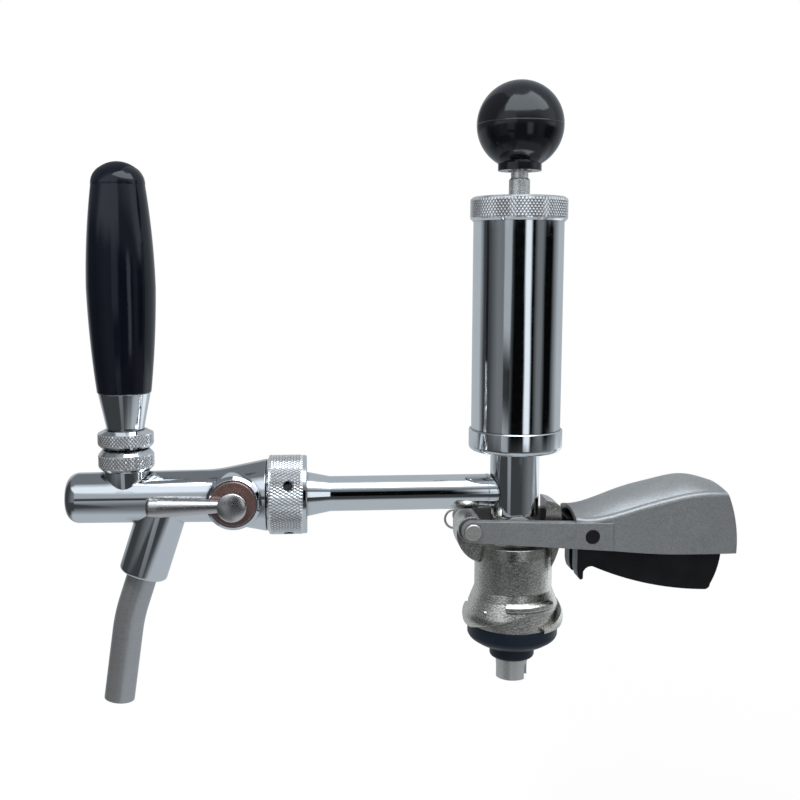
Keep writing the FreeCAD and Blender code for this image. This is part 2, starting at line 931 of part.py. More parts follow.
def make_latch_rib():
    """The rib that the trigger's nose passes: its outer face is an arc about the pivot."""
    return plate("latch_rib", [
        (book.latchInner, book.latchFoot),
        (on_latch_arc(book.latchFoot, book.latchReach), book.latchFoot),
        (on_latch_arc(book.latchCorner, book.latchReach), book.latchCorner, book.latchReach, 1),
        (book.latchInner, book.latchTop, book.latchCrown, 1),
    ], book.earHalf)


def trunnion_height():
    return book.pivotHeight - book.pivotReach * tangent(book.slotTilt)


def make_probe():
    tip = -book.tipDrop
    spigot = book.stemFoot + book.probeSpigotHeight
    turning = turned("probe_turning", [
        (book.tipBore, tip),
        (book.tipRadius, tip),
        (book.tipRadius, -book.probeSealDrop),
        (book.sealGroove, -book.probeSealDrop),
        (book.sealGroove, book.probeSealRise),
        (book.tipRadius, book.probeSealRise),
        (book.tipRadius, book.guideStart),
        (book.guideRadius, book.guideStart),
        (book.guideRadius, book.guideEnd),
        (book.waistRadius, book.guideEnd),
        (book.waistRadius, book.stemFoot),
        (book.probeSpigotRadius, book.stemFoot),
        (book.probeSpigotRadius, spigot),
        (book.airBoreRadius, spigot),
        (book.airBoreRadius, book.gasBoreTop + book.gasTaper),
        (book.gasBoreRadius, book.gasBoreTop),
        (book.gasBoreRadius, book.tubeSocketTop),
        (book.beerTubeRadius + book.threadGap, book.tubeSocketTop),
        (book.beerTubeRadius + book.threadGap, book.ballChamberTop),
        (book.ballChamberRadius, book.ballChamberTop),
        (book.ballChamberRadius, book.seatHeight),
        (book.seatBore, book.seatHeight),
        (book.seatBore, tip + book.tipBoreDepth),
        (book.tipBore, tip + book.tipBoreDepth),
    ])
    middle = trunnion_height()
    boss = rod("trunnion_boss", book.trunnionBossRadius, book.trunnionBossHalf * 2,
               (Size(0), book.trunnionBossHalf, middle), to_front)
    tools = [rod("boss_clear", book.airBoreRadius, book.guideEnd,
                 (Size(0), Size(0), book.gasBoreTop + book.gasTaper))]
    for side, name in ((1, "front"), (-1, "back")):
        start = book.trunnionBossHalf * 2 if side < 0 else -book.trunnionInner
        tools.append(rod("trunnion_hole_" + name, book.trunnionRadius + book.threadGap,
                         book.trunnionBossHalf * 2 - book.trunnionInner if side < 0
                         else book.trunnionBossHalf,
                         (Size(0), start, middle), to_front))
    for name, height in (("low", book.ringSealLower), ("high", book.ringSealUpper)):
        tools.append(turned("ring_groove_" + name, [
            (book.guideRadius - book.ringSealDepth, height),
            (book.guideRadius + book.overrun, height),
            (book.guideRadius + book.overrun, height + book.ringSealWidth),
            (book.guideRadius - book.ringSealDepth, height + book.ringSealWidth),
        ]))
    tools.append(ring_of("gas_ports", lambda index, angle: rod(
        "gas_port_%d" % index, book.portRadius, book.tipRadius + book.overrun,
        (Size(0), Size(0), book.portHeight),
        FreeCAD.Vector(*polar(1.0, angle + book.portTurn.number), 0)),
        int(probe_sizes["portCount"])))
    tools.append(make_tip_slot(tip))
    tools.append(rod("ball_pin_hole", book.ballPinRadius + book.threadGap, book.tipRadius * 4,
                     (Size(0), book.tipRadius * 2, book.ballPinHeight), to_front))
    forged = fuse("probe_forged", [turning, boss])
    keep(cut("probe", forged, tools), "probe")


def make_tip_slot(tip):
    """The round-topped slot across the probe's end, that lets the beer in."""
    angle = book.tipSlotTurn.number
    x, y = polar(1.0, angle)
    across = FreeCAD.Vector(x, y, 0)
    reach = book.tipRadius + book.overrun
    top = rod("tip_slot_top", book.tipSlotHalf, reach * 2,
              (-(reach * x), -(reach * y), tip + book.tipSlotRise), across)
    side = block("tip_slot_side", (reach * 2, book.tipSlotHalf * 2,
                                     book.tipSlotRise + book.overrun),
                 (-(reach * x) + book.tipSlotHalf * y, -(reach * y) - book.tipSlotHalf * x,
                  tip - book.overrun))
    side.Placement = FreeCAD.Placement(side.Placement.Base, FreeCAD.Rotation(up, angle))
    return fuse("tip_slot", [top, side])


def make_probe_fittings():
    edge = book.probeSealEdge
    keep(turned("probe_seal", [
        (book.sealGroove, -book.probeSealDrop),
        (book.probeSealRadius - edge, -book.probeSealDrop),
        (book.probeSealRadius, -book.probeSealDrop + edge, edge, 1),
        (book.probeSealRadius, Size(0)),
        (book.probeSealRadius - edge, book.probeSealRise),
        (book.sealGroove, book.probeSealRise),
    ]), "probe_seal")
    rings = []
    for name, height in (("low", book.ringSealLower), ("high", book.ringSealUpper)):
        inner = book.guideRadius - book.ringSealDepth
        outer = book.guideRadius - book.freeGap / 2
        rings.append(turned("ring_seal_" + name, [
            (inner, height),
            (outer - book.smallEdge, height),
            (outer, height + book.smallEdge),
            (outer, height + book.ringSealWidth - book.smallEdge),
            (outer - book.smallEdge, height + book.ringSealWidth),
            (inner, height + book.ringSealWidth),
        ]))
    keep(fuse("probe_rings", rings), "probe_rings")
    middle = trunnion_height()
    pins = [
        rod("trunnion_front", book.trunnionRadius, book.trunnionReach - book.trunnionInner,
            (Size(0), -book.trunnionInner, middle), to_front),
        rod("trunnion_back", book.trunnionRadius, book.trunnionReach - book.trunnionInner,
            (Size(0), book.trunnionReach, middle), to_front),
    ]
    keep(fuse("trunnion_pins", pins), "trunnion_pins")
    keep(rod("ball_pin", book.ballPinRadius, (book.tipRadius - book.freeGap) * 2,
             (Size(0), book.tipRadius - book.freeGap, book.ballPinHeight), to_front), "ball_pin")
    keep(ball("check_ball", book.ballRadius, (Size(0), Size(0), check_ball_height())),
         "check_ball")


def check_ball_height():
    lift = root(book.ballRadius * book.ballRadius - book.seatBore * book.seatBore)
    return book.seatHeight + lift + book.ballRest


def pipe(name, radius, wall, run, bend, turn_angle, tail, at=nowhere, along=up):
    """A tube along +Z that then bends towards -X and runs straight on."""
    body = doc.addObject("PartDesign::Body", name)
    path = sketch_on(body, "XZ_Plane")
    bend_number, angle = bend.number, math.radians(turn_angle.number)
    reach = bend_number * (1 - math.cos(angle))
    rise = run.number + bend_number * math.sin(angle)
    start = FreeCAD.Vector(0, 0, 0)
    corner = FreeCAD.Vector(0, run.number, 0)
    leave = FreeCAD.Vector(-reach, rise, 0)
    end = leave + FreeCAD.Vector(-math.sin(angle), math.cos(angle), 0) * tail.number
    path.addGeometry([
        Part.LineSegment(start, corner),
        arc_between(corner, leave, bend_number, 1),
        Part.LineSegment(leave, end),
    ], False)
    path.addConstraint([
        Sketcher.Constraint("Coincident", 0, 1, -1, 1),
        Sketcher.Constraint("Vertical", 0),
        Sketcher.Constraint("Tangent", 0, 2, 1, 1),
        Sketcher.Constraint("Tangent", 1, 2, 2, 1),
        Sketcher.Constraint("DistanceY", 0, 1, 0, 2, run.number),
        Sketcher.Constraint("Radius", 1, bend_number),
        Sketcher.Constraint("Distance", 2, tail.number),
        Sketcher.Constraint("DistanceX", 1, 2, -reach),
    ])
    path.setExpression("Constraints[4]", run.formula)
    path.setExpression("Constraints[5]", bend.formula)
    path.setExpression("Constraints[6]", tail.formula)
    path.setExpression("Constraints[7]", (bend * (cosine(turn_angle) - 1)).formula)
    section = sketch_on(body, "XY_Plane")
    middle = FreeCAD.Vector()
    section.addGeometry([Part.Circle(middle, up, radius.number),
                         Part.Circle(middle, up, radius.number - wall.number)], False)
    section.addConstraint([
        Sketcher.Constraint("Coincident", 0, 3, -1, 1),
        Sketcher.Constraint("Coincident", 1, 3, -1, 1),
        Sketcher.Constraint("Radius", 0, radius.number),
        Sketcher.Constraint("Radius", 1, radius.number - wall.number),
    ])
    section.setExpression("Constraints[2]", radius.formula)
    section.setExpression("Constraints[3]", (radius - wall).formula)
    doc.recompute()
    tube = body.newObject("PartDesign::AdditivePipe", name + "_sweep")
    tube.Profile = section
    tube.Spine = (path, ["Edge1", "Edge2", "Edge3"])
    return place(body, at, along)


def make_beer_tube():
    start = book.ballChamberTop + book.touchGap
    run = book.tapAxisHeight - book.beerTubeBend - start
    tail = book.shankSpigotStart
    keep(pipe("beer_tube", book.beerTubeRadius, book.beerTubeWall, run, book.beerTubeBend,
              book.beerTubeTurn, tail, (Size(0), Size(0), start)), "beer_tube")


def make_stem():
    top = book.baseFoot
    spigot = top + book.stemSpigotHeight
    socket = book.probeSpigotRadius + book.threadGap
    socket_top = book.stemFoot + book.probeSpigotHeight + book.touchGap
    turning = turned("stem_turning", [
        (socket, book.stemFoot),
        (book.stemRadius - book.stemFootRound + book.stemFootLand, book.stemFoot),
        (book.stemRadius, book.stemFoot + book.stemFootRound, book.stemFootRound, 1),
        (book.stemRadius, top),
        (book.baseChamberRadius, top),
        (book.baseChamberRadius, spigot),
        (book.airBoreRadius, spigot),
        (book.airBoreRadius, socket_top),
        (socket, socket_top),
    ])
    boss = rod("stem_boss", book.stemBossRadius, book.stemBossReach,
               (Size(0), Size(0), book.tapAxisHeight), to_tap)
    forged = fuse("stem_forged", [turning, boss])
    boss_gap = rod("stem_boss_gap", book.trunnionBossRadius + book.freeGap, book.stemRadius * 4,
                   (Size(0), book.stemRadius * 2, trunnion_height()), to_front)
    socket_clear = rod("stem_socket_clear", socket, socket_top - book.stemFoot + book.overrun,
                       (Size(0), Size(0), book.stemFoot - book.overrun))
    air_clear = rod("stem_air_clear", book.airBoreRadius, top, (Size(0), Size(0), book.stemFoot))
    side = rod("stem_side_hole", book.shankSpigotRadius + book.threadGap, book.stemRadius * 2,
               (Size(0), Size(0), book.tapAxisHeight), to_tap)
    keep(cut("stem", forged, [boss_gap, socket_clear, air_clear, side, make_stem_groove()]),
         "stem")


def hoop(name, inner, outer, length, at, along):
    """A tube: a longer rod taken out of a shorter one."""
    return cut(name, rod(name + "_outside", outer, length, at, along),
               [rod(name + "_inside", inner, length, at, along)])


def make_stem_groove():
    """The groove where the shank's boss leaves the stem: it follows the stem's round side."""
    boss = book.stemBossRadius
    axis_height = book.tapAxisHeight
    round_stem = hoop("groove_round_stem", book.stemRadius,
                      book.stemRadius + book.stemGrooveWidth, boss * 4,
                      (Size(0), Size(0), axis_height - boss * 2), up)
    round_boss = hoop("groove_round_boss", boss - book.stemGrooveDepth, boss + book.overrun,
                      book.stemRadius * 2, (Size(0), Size(0), axis_height), to_tap)
    groove = doc.addObject("Part::Common", "stem_groove")
    groove.Base = round_stem
    groove.Tool = round_boss
    return groove


def make_shank():
    keep(turned("shank", [
        (book.shankBore, book.shankSpigotStart),
        (book.shankSpigotRadius, book.shankSpigotStart),
        (book.shankSpigotRadius, book.stemBossReach),
        (book.shankRadius, book.stemBossReach),
        (book.shankRadius, book.shankConeStart),
        (book.shankConeRadius, book.nutStart),
        (book.shankConeRadius, book.flangeStart),
        (book.shankFlangeRadius, book.flangeStart),
        (book.shankFlangeRadius, book.flangeFace),
        (book.shankBore, book.flangeFace),
    ], (Size(0), Size(0), book.tapAxisHeight), to_tap), "shank")


def tap_place():
    return (Size(0), Size(0), book.tapAxisHeight), to_tap


def make_pump_base():
    foot = book.baseFoot
    top = foot + book.baseHeight
    floor = foot + book.baseFloor
    web = floor + book.baseWeb
    turning = turned("pump_base_turning", [
        (book.baseChamberRadius + book.threadGap, foot),
        (book.baseRadius - book.baseFootRound, foot),
        (book.baseRadius, foot + book.baseFootRound, book.baseFootRound, 1),
        (book.baseRadius, top - book.smallEdge),
        (book.baseRadius - book.smallEdge, top),
        (book.barrelRadius + book.threadGap, top),
        (book.barrelRadius + book.threadGap, web),
        (book.airValveStem + book.touchGap, web),
        (book.airValveStem + book.touchGap, floor),
        (book.baseChamberRadius + book.threadGap, floor),
    ])
    holes = ring_of("air_holes", lambda index, angle: rod(
        "air_hole_%d" % index, book.airHoleRadius, book.baseWeb * 3,
        polar(book.airHolePitch, angle) + (floor - book.baseWeb,)), int(pump_sizes["airHoleCount"]))
    keep(cut("pump_base", turning, [holes]), "pump_base")
    keep(turned("air_valve", [
        (Size(0), floor - book.airValveDisc),
        (book.airValveRadius, floor - book.airValveDisc),
        (book.airValveRadius, floor),
        (book.airValveStem, floor),
        (book.airValveStem, web),
        (book.airValveBulb, web + book.touchGap),
        (book.airValveStem, web + book.airValveBulbHeight),
        (Size(0), web + book.airValveBulbHeight),
    ]), "air_valve")
    inner = book.barrelRadius - book.barrelWall
    keep(turned("barrel_gasket", [
        (inner - book.gasketLip, web),
        (book.barrelRadius, web),
        (book.barrelRadius, web + book.gasketHeight),
        (inner - book.gasketLip, web + book.gasketHeight),
    ]), "barrel_gasket")
    plate_low = book.capBottom + book.capHeight - book.capPlate
    keep(turned("barrel", [
        (inner, web + book.gasketHeight),
        (book.barrelRadius, web + book.gasketHeight),
        (book.barrelRadius, plate_low),
        (inner, plate_low),
    ]), "barrel")


def make_cap():
    foot = book.capBottom
    top = foot + book.capHeight
    plate_low = top - book.capPlate
    edge = book.capChamfer
    hole = book.bushRadius + book.threadGap
    turning = turned("cap_turning", [
        (book.barrelRadius + book.threadGap, foot),
        (book.capRadius - edge, foot),
        (book.capRadius, foot + edge),
        (book.capRadius, top - edge),
        (book.capRadius - edge, top),
        (hole, top),
        (hole, plate_low),
        (book.barrelRadius + book.threadGap, plate_low),
    ])
    vents = ring_of("cap_vents", lambda index, angle: rod(
        "cap_vent_%d" % index, book.ventRadius, book.capPlate * 3,
        polar(book.ventPitch, angle + book.ventTurn.number) + (plate_low - book.capPlate,)),
        int(pump_sizes["ventCount"]))
    keep(cut("pump_cap", turning, [vents]), "pump_cap")
    bore = book.rodRadius + book.runGap
    keep(turned("rod_bush", [
        (bore, plate_low - book.bushFlangeHeight),
        (book.bushFlangeRadius, plate_low - book.bushFlangeHeight),
        (book.bushFlangeRadius, plate_low),
        (book.bushRadius, plate_low),
        (book.bushRadius, top - book.freeGap),
        (bore, top - book.freeGap),
    ]), "rod_bush")


def make_plunger():
    neck = book.rodTop
    screw_top = neck + book.knobScrewLength
    chamfer = book.rodNeckChamfer
    keep(turned("pump_rod", [
        (Size(0), book.rodFoot),
        (book.rodScrewRadius - book.smallEdge, book.rodFoot),
        (book.rodScrewRadius, book.rodFoot + book.smallEdge),
        (book.rodScrewRadius, book.rodShoulder),
        (book.rodRadius, book.rodShoulder),
        (book.rodRadius, neck - chamfer),
        (book.rodRadius - chamfer, neck),
        (book.knobScrewRadius, neck),
        (book.knobScrewRadius, screw_top),
        (Size(0), screw_top),
    ]), "pump_rod")
    foot = book.knobFoot
    sleeve_top = foot + book.insertDepth
    keep(turned("knob_insert", [
        (book.knobScrewRadius + book.threadGap, foot - book.insertFlangeHeight),
        (book.insertFlangeRadius - book.smallEdge, foot - book.insertFlangeHeight),
        (book.insertFlangeRadius, foot - book.insertFlangeHeight + book.smallEdge),
        (book.insertFlangeRadius, foot),
        (book.insertRadius, foot),
        (book.insertRadius, sleeve_top),
        (book.knobScrewRadius + book.threadGap, sleeve_top),
    ]), "knob_insert")
    neck_top = foot + book.knobNeckHeight
    radius = book.knobRadius
    neck_radius = book.knobNeckRadius
    centre = neck_top + root(radius * radius - neck_radius * neck_radius)
    bore = book.insertRadius + book.threadGap
    keep(turned("ball_knob", [
        (bore, foot),
        (neck_radius, foot),
        (neck_radius, neck_top),
        (radius, centre, radius, 1),
        (Size(0), centre + radius, radius, 1),
        (Size(0), sleeve_top + book.smallEdge),
        (bore, sleeve_top + book.smallEdge),
    ]), "ball_knob")
    make_piston()


def make_piston():
    screw = book.rodScrewRadius + book.threadGap
    top = book.rodShoulder
    cup_top = top - book.plateHeight
    web = cup_top - book.cupTop
    cup_radius = book.barrelRadius - book.barrelWall - book.freeGap
    keep(turned("piston_plate", [
        (screw, cup_top),
        (book.plateRadius, cup_top),
        (book.plateRadius, top - book.plateEdge),
        (book.plateRadius - book.plateEdge, top),
        (screw, top),
    ]), "piston_plate")
    keep(turned("piston_cup", [
        (screw, web),
        (cup_radius - book.cupWall, web),
        (cup_radius - book.cupWall + book.cupLip, cup_top - book.cupHeight),
        (cup_radius, cup_top - book.cupHeight),
        (cup_radius, cup_top - book.cupLip),
        (cup_radius - book.cupLip, cup_top),
        (screw, cup_top),
    ]), "piston_cup")
    prism = doc.addObject("Part::Prism", "piston_nut_hex")
    prism.Polygon = 6
    bind(prism, "Circumradius", book.pistonNutRadius)
    bind(prism, "Height", book.pistonNutHeight)
    place(prism, (Size(0), Size(0), web - book.pistonNutHeight))
    hole = rod("piston_nut_bore", screw, book.pistonNutHeight * 3,
               (Size(0), Size(0), web - book.pistonNutHeight * 2))
    keep(cut("piston_nut", prism, [hole]), "piston_nut")


def handle_section(body, station, half, foot, ridge, crown, inset=Size(0)):
    """One cross-section of the handle: flat below, upright sides, round ridges, a crown."""
    sketch = sketch_on(body, "YZ_Plane", station)
    half = half - inset
    ridge = ridge - inset * book.ridgeInset
    corner = book.ridgeRound
    side_top = ridge - corner
    shoulder = half - corner
    lift = crown * book.crownLift
    sagitta = crown - lift
    crown_arc = (shoulder * shoulder + sagitta * sagitta) / (sagitta * 2)
    draw(sketch, [
        (-half, foot),
        (half, foot),
        (half, side_top),
        (shoulder, ridge + lift, corner * book.ridgeArc, 1),
        (-shoulder, ridge + lift, crown_arc, 1),
        (-half, side_top, corner * book.ridgeArc, 1),
    ])
    return sketch


def handle_sections(body, inset, drop, back):
    names = ("front", "throat", "rise", "palm", "heel", "brink", "end")
    sketches = []
    for index, name in enumerate(names):
        station = getattr(book, name + "Station")
        if index == 0:
            station = station - drop
        if index == len(names) - 1:
            station = station - back
        sketches.append(handle_section(
            body, station, getattr(book, name + "Half"), getattr(book, name + "Foot") - drop,
            getattr(book, name + "Ridge"), getattr(book, name + "Crown"), inset))
    return sketches


def handle_loft(name, inset, drop, back):
    """The handle's crowned form, or the smaller one inside its wall."""
    body = doc.addObject("PartDesign::Body", name)
    sketches = handle_sections(body, inset, drop, back)
    loft = body.newObject("PartDesign::AdditiveLoft", name + "_loft")
    loft.Profile = sketches[0]
    loft.Sections = sketches[1:]
    return place(body)


def handle_end(name, inset):
    """What lies beyond the handle's bowed end face, or beyond the hollow's."""
    foot = book.endFoot - book.endFaceRoom
    top = book.endFaceTop + book.endFaceRoom
    beyond = book.endFaceReach + book.endFaceRoom
    return plate(name, [
        (book.endFaceReach - inset, book.endFoot),
        (book.endFaceTopReach - inset, book.endFaceTop, book.endFaceArc, 1),
        (book.endFaceTopReach - inset - book.endFaceLean, top),
        (beyond, top),
        (beyond, foot),
        (book.endFaceReach - inset, foot),
    ], book.armOuter * 2)


def make_lever():
    """The cast lever: two arms that run into a hollow crowned handle, open below."""
    outside = handle_loft("handle_outside", Size(0), Size(0), Size(0))
    inside = handle_loft("handle_inside", book.handleWall, book.hollowDrop, Size(0))
    hollow = cut("handle_hollow", inside, [handle_end("hollow_end", book.handleWall)])
    shell = cut("handle_shell", outside, [hollow, handle_end("handle_end", Size(0))])
    arms = []
    thickness = book.armOuter - book.armInner
    for side, name in ((1, "front"), (-1, "back")):
        arm = doc.addObject("PartDesign::Body", "lever_arm_" + name)
        sketch = draw(sketch_on(arm, "XZ_Plane"), arm_corners())
        pad = arm.newObject("PartDesign::Pad", arm.Name + "_pad")
        pad.Profile = sketch
        pad.Midplane = True
        bind(pad, "Length", thickness)
        offset = (book.armInner + thickness / 2) * -side
        arms.append(place(arm, (Size(0), offset, Size(0))))
    forged = fuse("lever_forged", [shell] + arms)
    pivot = rod("lever_pivot_hole", book.pivotPinRadius + book.runGap, book.armOuter * 4,
                (-book.pivotReach, book.armOuter * 2, book.pivotHeight), to_front)
    pin = rod("lever_trigger_hole", book.triggerPinRadius + book.threadGap, book.armOuter * 4,
              (book.triggerPinReach, book.armOuter * 2, book.triggerPinHeight), to_front)
    keep(cut("lever_handle", forged, [pivot, pin, make_trunnion_slot()]), "lever_handle")


def arm_corners():
    end = book.armEndRadius
    return [
        (-book.pivotReach, book.pivotHeight - end, end, 1),
        (book.armRoot, book.armRootFoot),
        (book.armRoot, book.armRootTop),
        (-book.pivotReach, book.pivotHeight + end),
        (-(book.pivotReach + end), book.pivotHeight, end, 1),
    ]


def lever_point(along, across):
    """A point given along and across the slot line, which leans down from the pivot."""
    lean, rise = cosine(book.slotTilt), sine(book.slotTilt)
    return (along * lean + across * rise - book.pivotReach,
            book.pivotHeight - along * rise + across * lean)


def make_trunnion_slot():
    """The blind slot inside each arm that carries the probe up as the lever swings."""
    half = book.trunnionRadius + book.slotPlay
    low = book.pivotReach / cosine(book.slotTilt)
    high = book.pivotReach / cosine(book.leverSwing - book.slotTilt)
    lift = book.slotPlay - book.freeGap
    start = low - book.trunnionRadius - book.freeGap
    finish = high + book.freeGap
    return plate("trunnion_slot", [
        lever_point(start, lift - half),
        lever_point(finish, lift - half),
        lever_point(finish + half, lift) + (half, 1),
        lever_point(finish, lift + half) + (half, 1),
        lever_point(start, lift + half),
    ], book.armInner + book.slotDepth)


def make_trigger():
    front = book.triggerFront
    wall = front + book.triggerWall
    tip_round = book.hookTipRound
    outline = plate("trigger_outline", [
        (front, book.triggerTop),
        (front, book.hookBend),
        (book.hookTipReach - tip_round, book.hookTip + tip_round, book.hookFrontArc, 1),
        (book.hookTipReach + tip_round, book.hookTip + tip_round, tip_round * book.hookTipArc, 1),
        (wall, book.hookBackHeight),
        (book.bellyStartReach - book.hookArchInset, book.bellyStartHeight, book.hookArch, -1),
        (book.bellyEndReach, book.bellyEndHeight, book.bellyArc, 1),
        (book.bellyEndReach + book.tailCorner, book.bellyEndHeight + book.tailCorner,
         book.tailCorner, 1),
        (book.tailReach, book.tailTop, book.tailArc, 1),
        (book.cheekLowReach, book.cheekLowHeight),
        (book.cheekBackReach, book.triggerTop),
    ], book.triggerHalf)
    skin = book.bellySkin
    hollow = plate("trigger_hollow", [
        (wall, book.triggerTop + book.rooting),
        (wall, book.bellyStartHeight + skin),
        (book.bellyStartReach, book.bellyStartHeight + skin),
        (book.bellyEndReach - book.overrun, book.bellyEndHeight + skin, book.bellyArc, 1),
        (book.tailReach - skin, book.tailTop + book.rooting),
    ], book.triggerHalf - book.triggerCheek)
    fork_foot = book.hookTip - book.rooting
    fork = block("trigger_fork_gap",
                 (book.triggerWall + book.rooting * 2, book.forkSlotHalf * 2,
                  book.forkSlotTop - fork_foot),
                 (front - book.rooting, -book.forkSlotHalf, fork_foot))
    nose = plate("trigger_nose", [
        (book.noseFootReach, book.noseFoot),
        (front + book.noseRoot, book.noseFoot),
        (front + book.noseRoot, book.noseTop - book.noseFace),
        (front - book.noseShoulder, book.noseTop),
        (book.noseTopReach, book.noseTop),
        (book.noseReach, book.noseBend),
    ], book.noseHalf)
    hole = rod("trigger_pin_bore", book.triggerPinRadius + book.runGap, book.triggerHalf * 4,
               (book.triggerPinReach, book.triggerHalf * 2, book.triggerPinHeight), to_front)
    room = spring_coil_radius() + book.springWire + book.freeGap
    inside = book.triggerHalf - book.triggerCheek
    spring_room = rod("trigger_spring_room", room, inside * 2,
                      (book.triggerPinReach, inside, book.triggerPinHeight), to_front)
    shell = cut("trigger_shell", outline, [hollow, fork, spring_room])
    keep(cut("trigger", fuse("trigger_whole", [shell, nose]), [hole]), "trigger")


def spring_coil_radius():
    return book.triggerPinRadius + book.springWire + book.touchGap


def make_lever_fittings():
    half = book.armOuter + book.triggerPinProud
    keep(rod("trigger_pin", book.triggerPinRadius, half * 2,
             (book.triggerPinReach, half, book.triggerPinHeight), to_front), "trigger_pin")
    wire = book.springWire
    coil_radius = spring_coil_radius()
    pitch = wire * book.springPitch
    length = pitch * lever_sizes["springTurns"]
    helix = doc.addObject("Part::Helix", "spring_path")
    bind(helix, "Pitch", pitch)
    bind(helix, "Height", length)
    bind(helix, "Radius", coil_radius)
    section = doc.addObject("Sketcher::SketchObject", "spring_section")
    section.Placement = FreeCAD.Placement(FreeCAD.Vector(), FreeCAD.Rotation(to_lever, 90))
    section.addGeometry([Part.Circle(FreeCAD.Vector(coil_radius.number, 0, 0), up,
                                     wire.number)], False)
    section.addConstraint([
        Sketcher.Constraint("DistanceX", 0, 3, coil_radius.number),
        Sketcher.Constraint("DistanceY", 0, 3, 0.0),
        Sketcher.Constraint("Radius", 0, wire.number),
    ])
    section.setExpression("Constraints[0]", coil_radius.formula)
    section.setExpression("Constraints[2]", wire.formula)
    coil = doc.addObject("Part::Sweep", "trigger_spring")
    coil.Sections = [section]
    coil.Spine = (helix, [])
    coil.Solid = True
    coil.Frenet = True
    place(coil, (book.triggerPinReach, length / 2, book.triggerPinHeight), to_front)
    keep(coil, "trigger_spring")


def make_pivot_pin():
    half = book.armOuter + book.threadGap
    length = half * 2 + book.pivotTailLength
    turning = turned("pivot_pin_turning", [
        (Size(0), Size(0)),
        (book.pivotHeadRadius - book.smallEdge, Size(0)),
        (book.pivotHeadRadius, book.smallEdge),
        (book.pivotHeadRadius, book.pivotHeadHeight),
        (book.pivotPinRadius, book.pivotHeadHeight),
        (book.pivotPinRadius, book.pivotHeadHeight + half * 2),
        (book.pivotTailRadius, book.pivotHeadHeight + half * 2 + book.smallEdge),
        (book.pivotTailRadius, book.pivotHeadHeight + length),
        (Size(0), book.pivotHeadHeight + length),
    ], (-book.pivotReach, -(half + book.pivotHeadHeight), book.pivotHeight),
        FreeCAD.Vector(0, 1, 0))
    hole_y = book.armOuter + book.ringHoleOffset
    across, down = cosine(book.ringTurn), sine(book.ringTurn)
    reach = book.pivotTailRadius * 2
    hole = rod("ring_hole", book.ringHoleRadius, reach * 2,
               (-book.pivotReach - reach * down, hole_y, book.pivotHeight + reach * across),
               FreeCAD.Vector(down.number, 0, -across.number))
    keep(cut("pivot_pin", turning, [hole]), "pivot_pin")
    ring = doc.addObject("Part::Torus", "split_ring")
    bind(ring, "Radius1", book.ringRadius)
    bind(ring, "Radius2", book.ringWire)
    swing = book.ringRadius - book.ringShift
    place(ring, (-book.pivotReach - swing * across, hole_y, book.pivotHeight - swing * down),
          to_front)
    keep(ring, "split_ring")


def make_tap_body():
    at, along = tap_place()
    turning = turned("tap_turning", [
        (Size(0), book.noseEnd),
        (book.noseFaceRadius, book.noseEnd - book.noseDome),
        (book.noseRadius, book.noseStart, book.noseCorner, -1),
        (book.bodyRadius, book.bodyWaist),
        (book.flareStartRadius, book.flareStart, book.flareArc, 1),
        (book.flareRadius, book.flareEnd + book.flareChamfer),
        (book.flareRadius - book.flareChamfer, book.flareEnd),
        (book.spigotRadius, book.flareEnd),
        (book.spigotRadius, book.inletFace),
        (Size(0), book.inletFace),
    ], at, along)
    height = book.tapAxisHeight
    handle = (-book.handleReach, Size(0), height)
    neck = turned("handle_boss", [
        (Size(0), Size(0)),
        (book.bossRadius, Size(0)),
        (book.bossRadius, book.bossHeight),
        (book.bossSpigotRadius, book.bossHeight),
        (book.bossSpigotRadius, book.bossSpigotHeight),
        (Size(0), book.bossSpigotHeight),
    ], handle)
    boss = turned("gland_boss", [
        (Size(0), Size(0)),
        (book.hubBossRadius, Size(0)),
        (book.hubBossRadius, book.hubBossLength - book.hubBossChamfer),
        (book.hubBossRadius - book.hubBossChamfer, book.hubBossLength),
        (Size(0), book.hubBossLength),
    ], (-book.hubReach, Size(0), height), to_front)
    round_off = book.spoutBossRound
    spout = turned("spout_boss", [
        (Size(0), Size(0)),
        (book.spoutBossRadius, Size(0)),
        (book.spoutBossRadius, book.spoutBossLength - round_off),
        (book.spoutBossRadius - round_off, book.spoutBossLength, round_off, 1),
        (Size(0), book.spoutBossLength),
    ], spout_point(), spout_direction())
    forged = fuse("tap_forged", [turning, neck, boss, spout])
    keep(cut("tap_body", forged, tap_bores(handle)), "tap_body")


def spout_point():
    return (-book.spoutReach, Size(0), book.tapAxisHeight)


def spout_direction():
    lean = math.radians(book.spoutLean.number)
    return FreeCAD.Vector(-math.sin(lean), 0, -math.cos(lean))


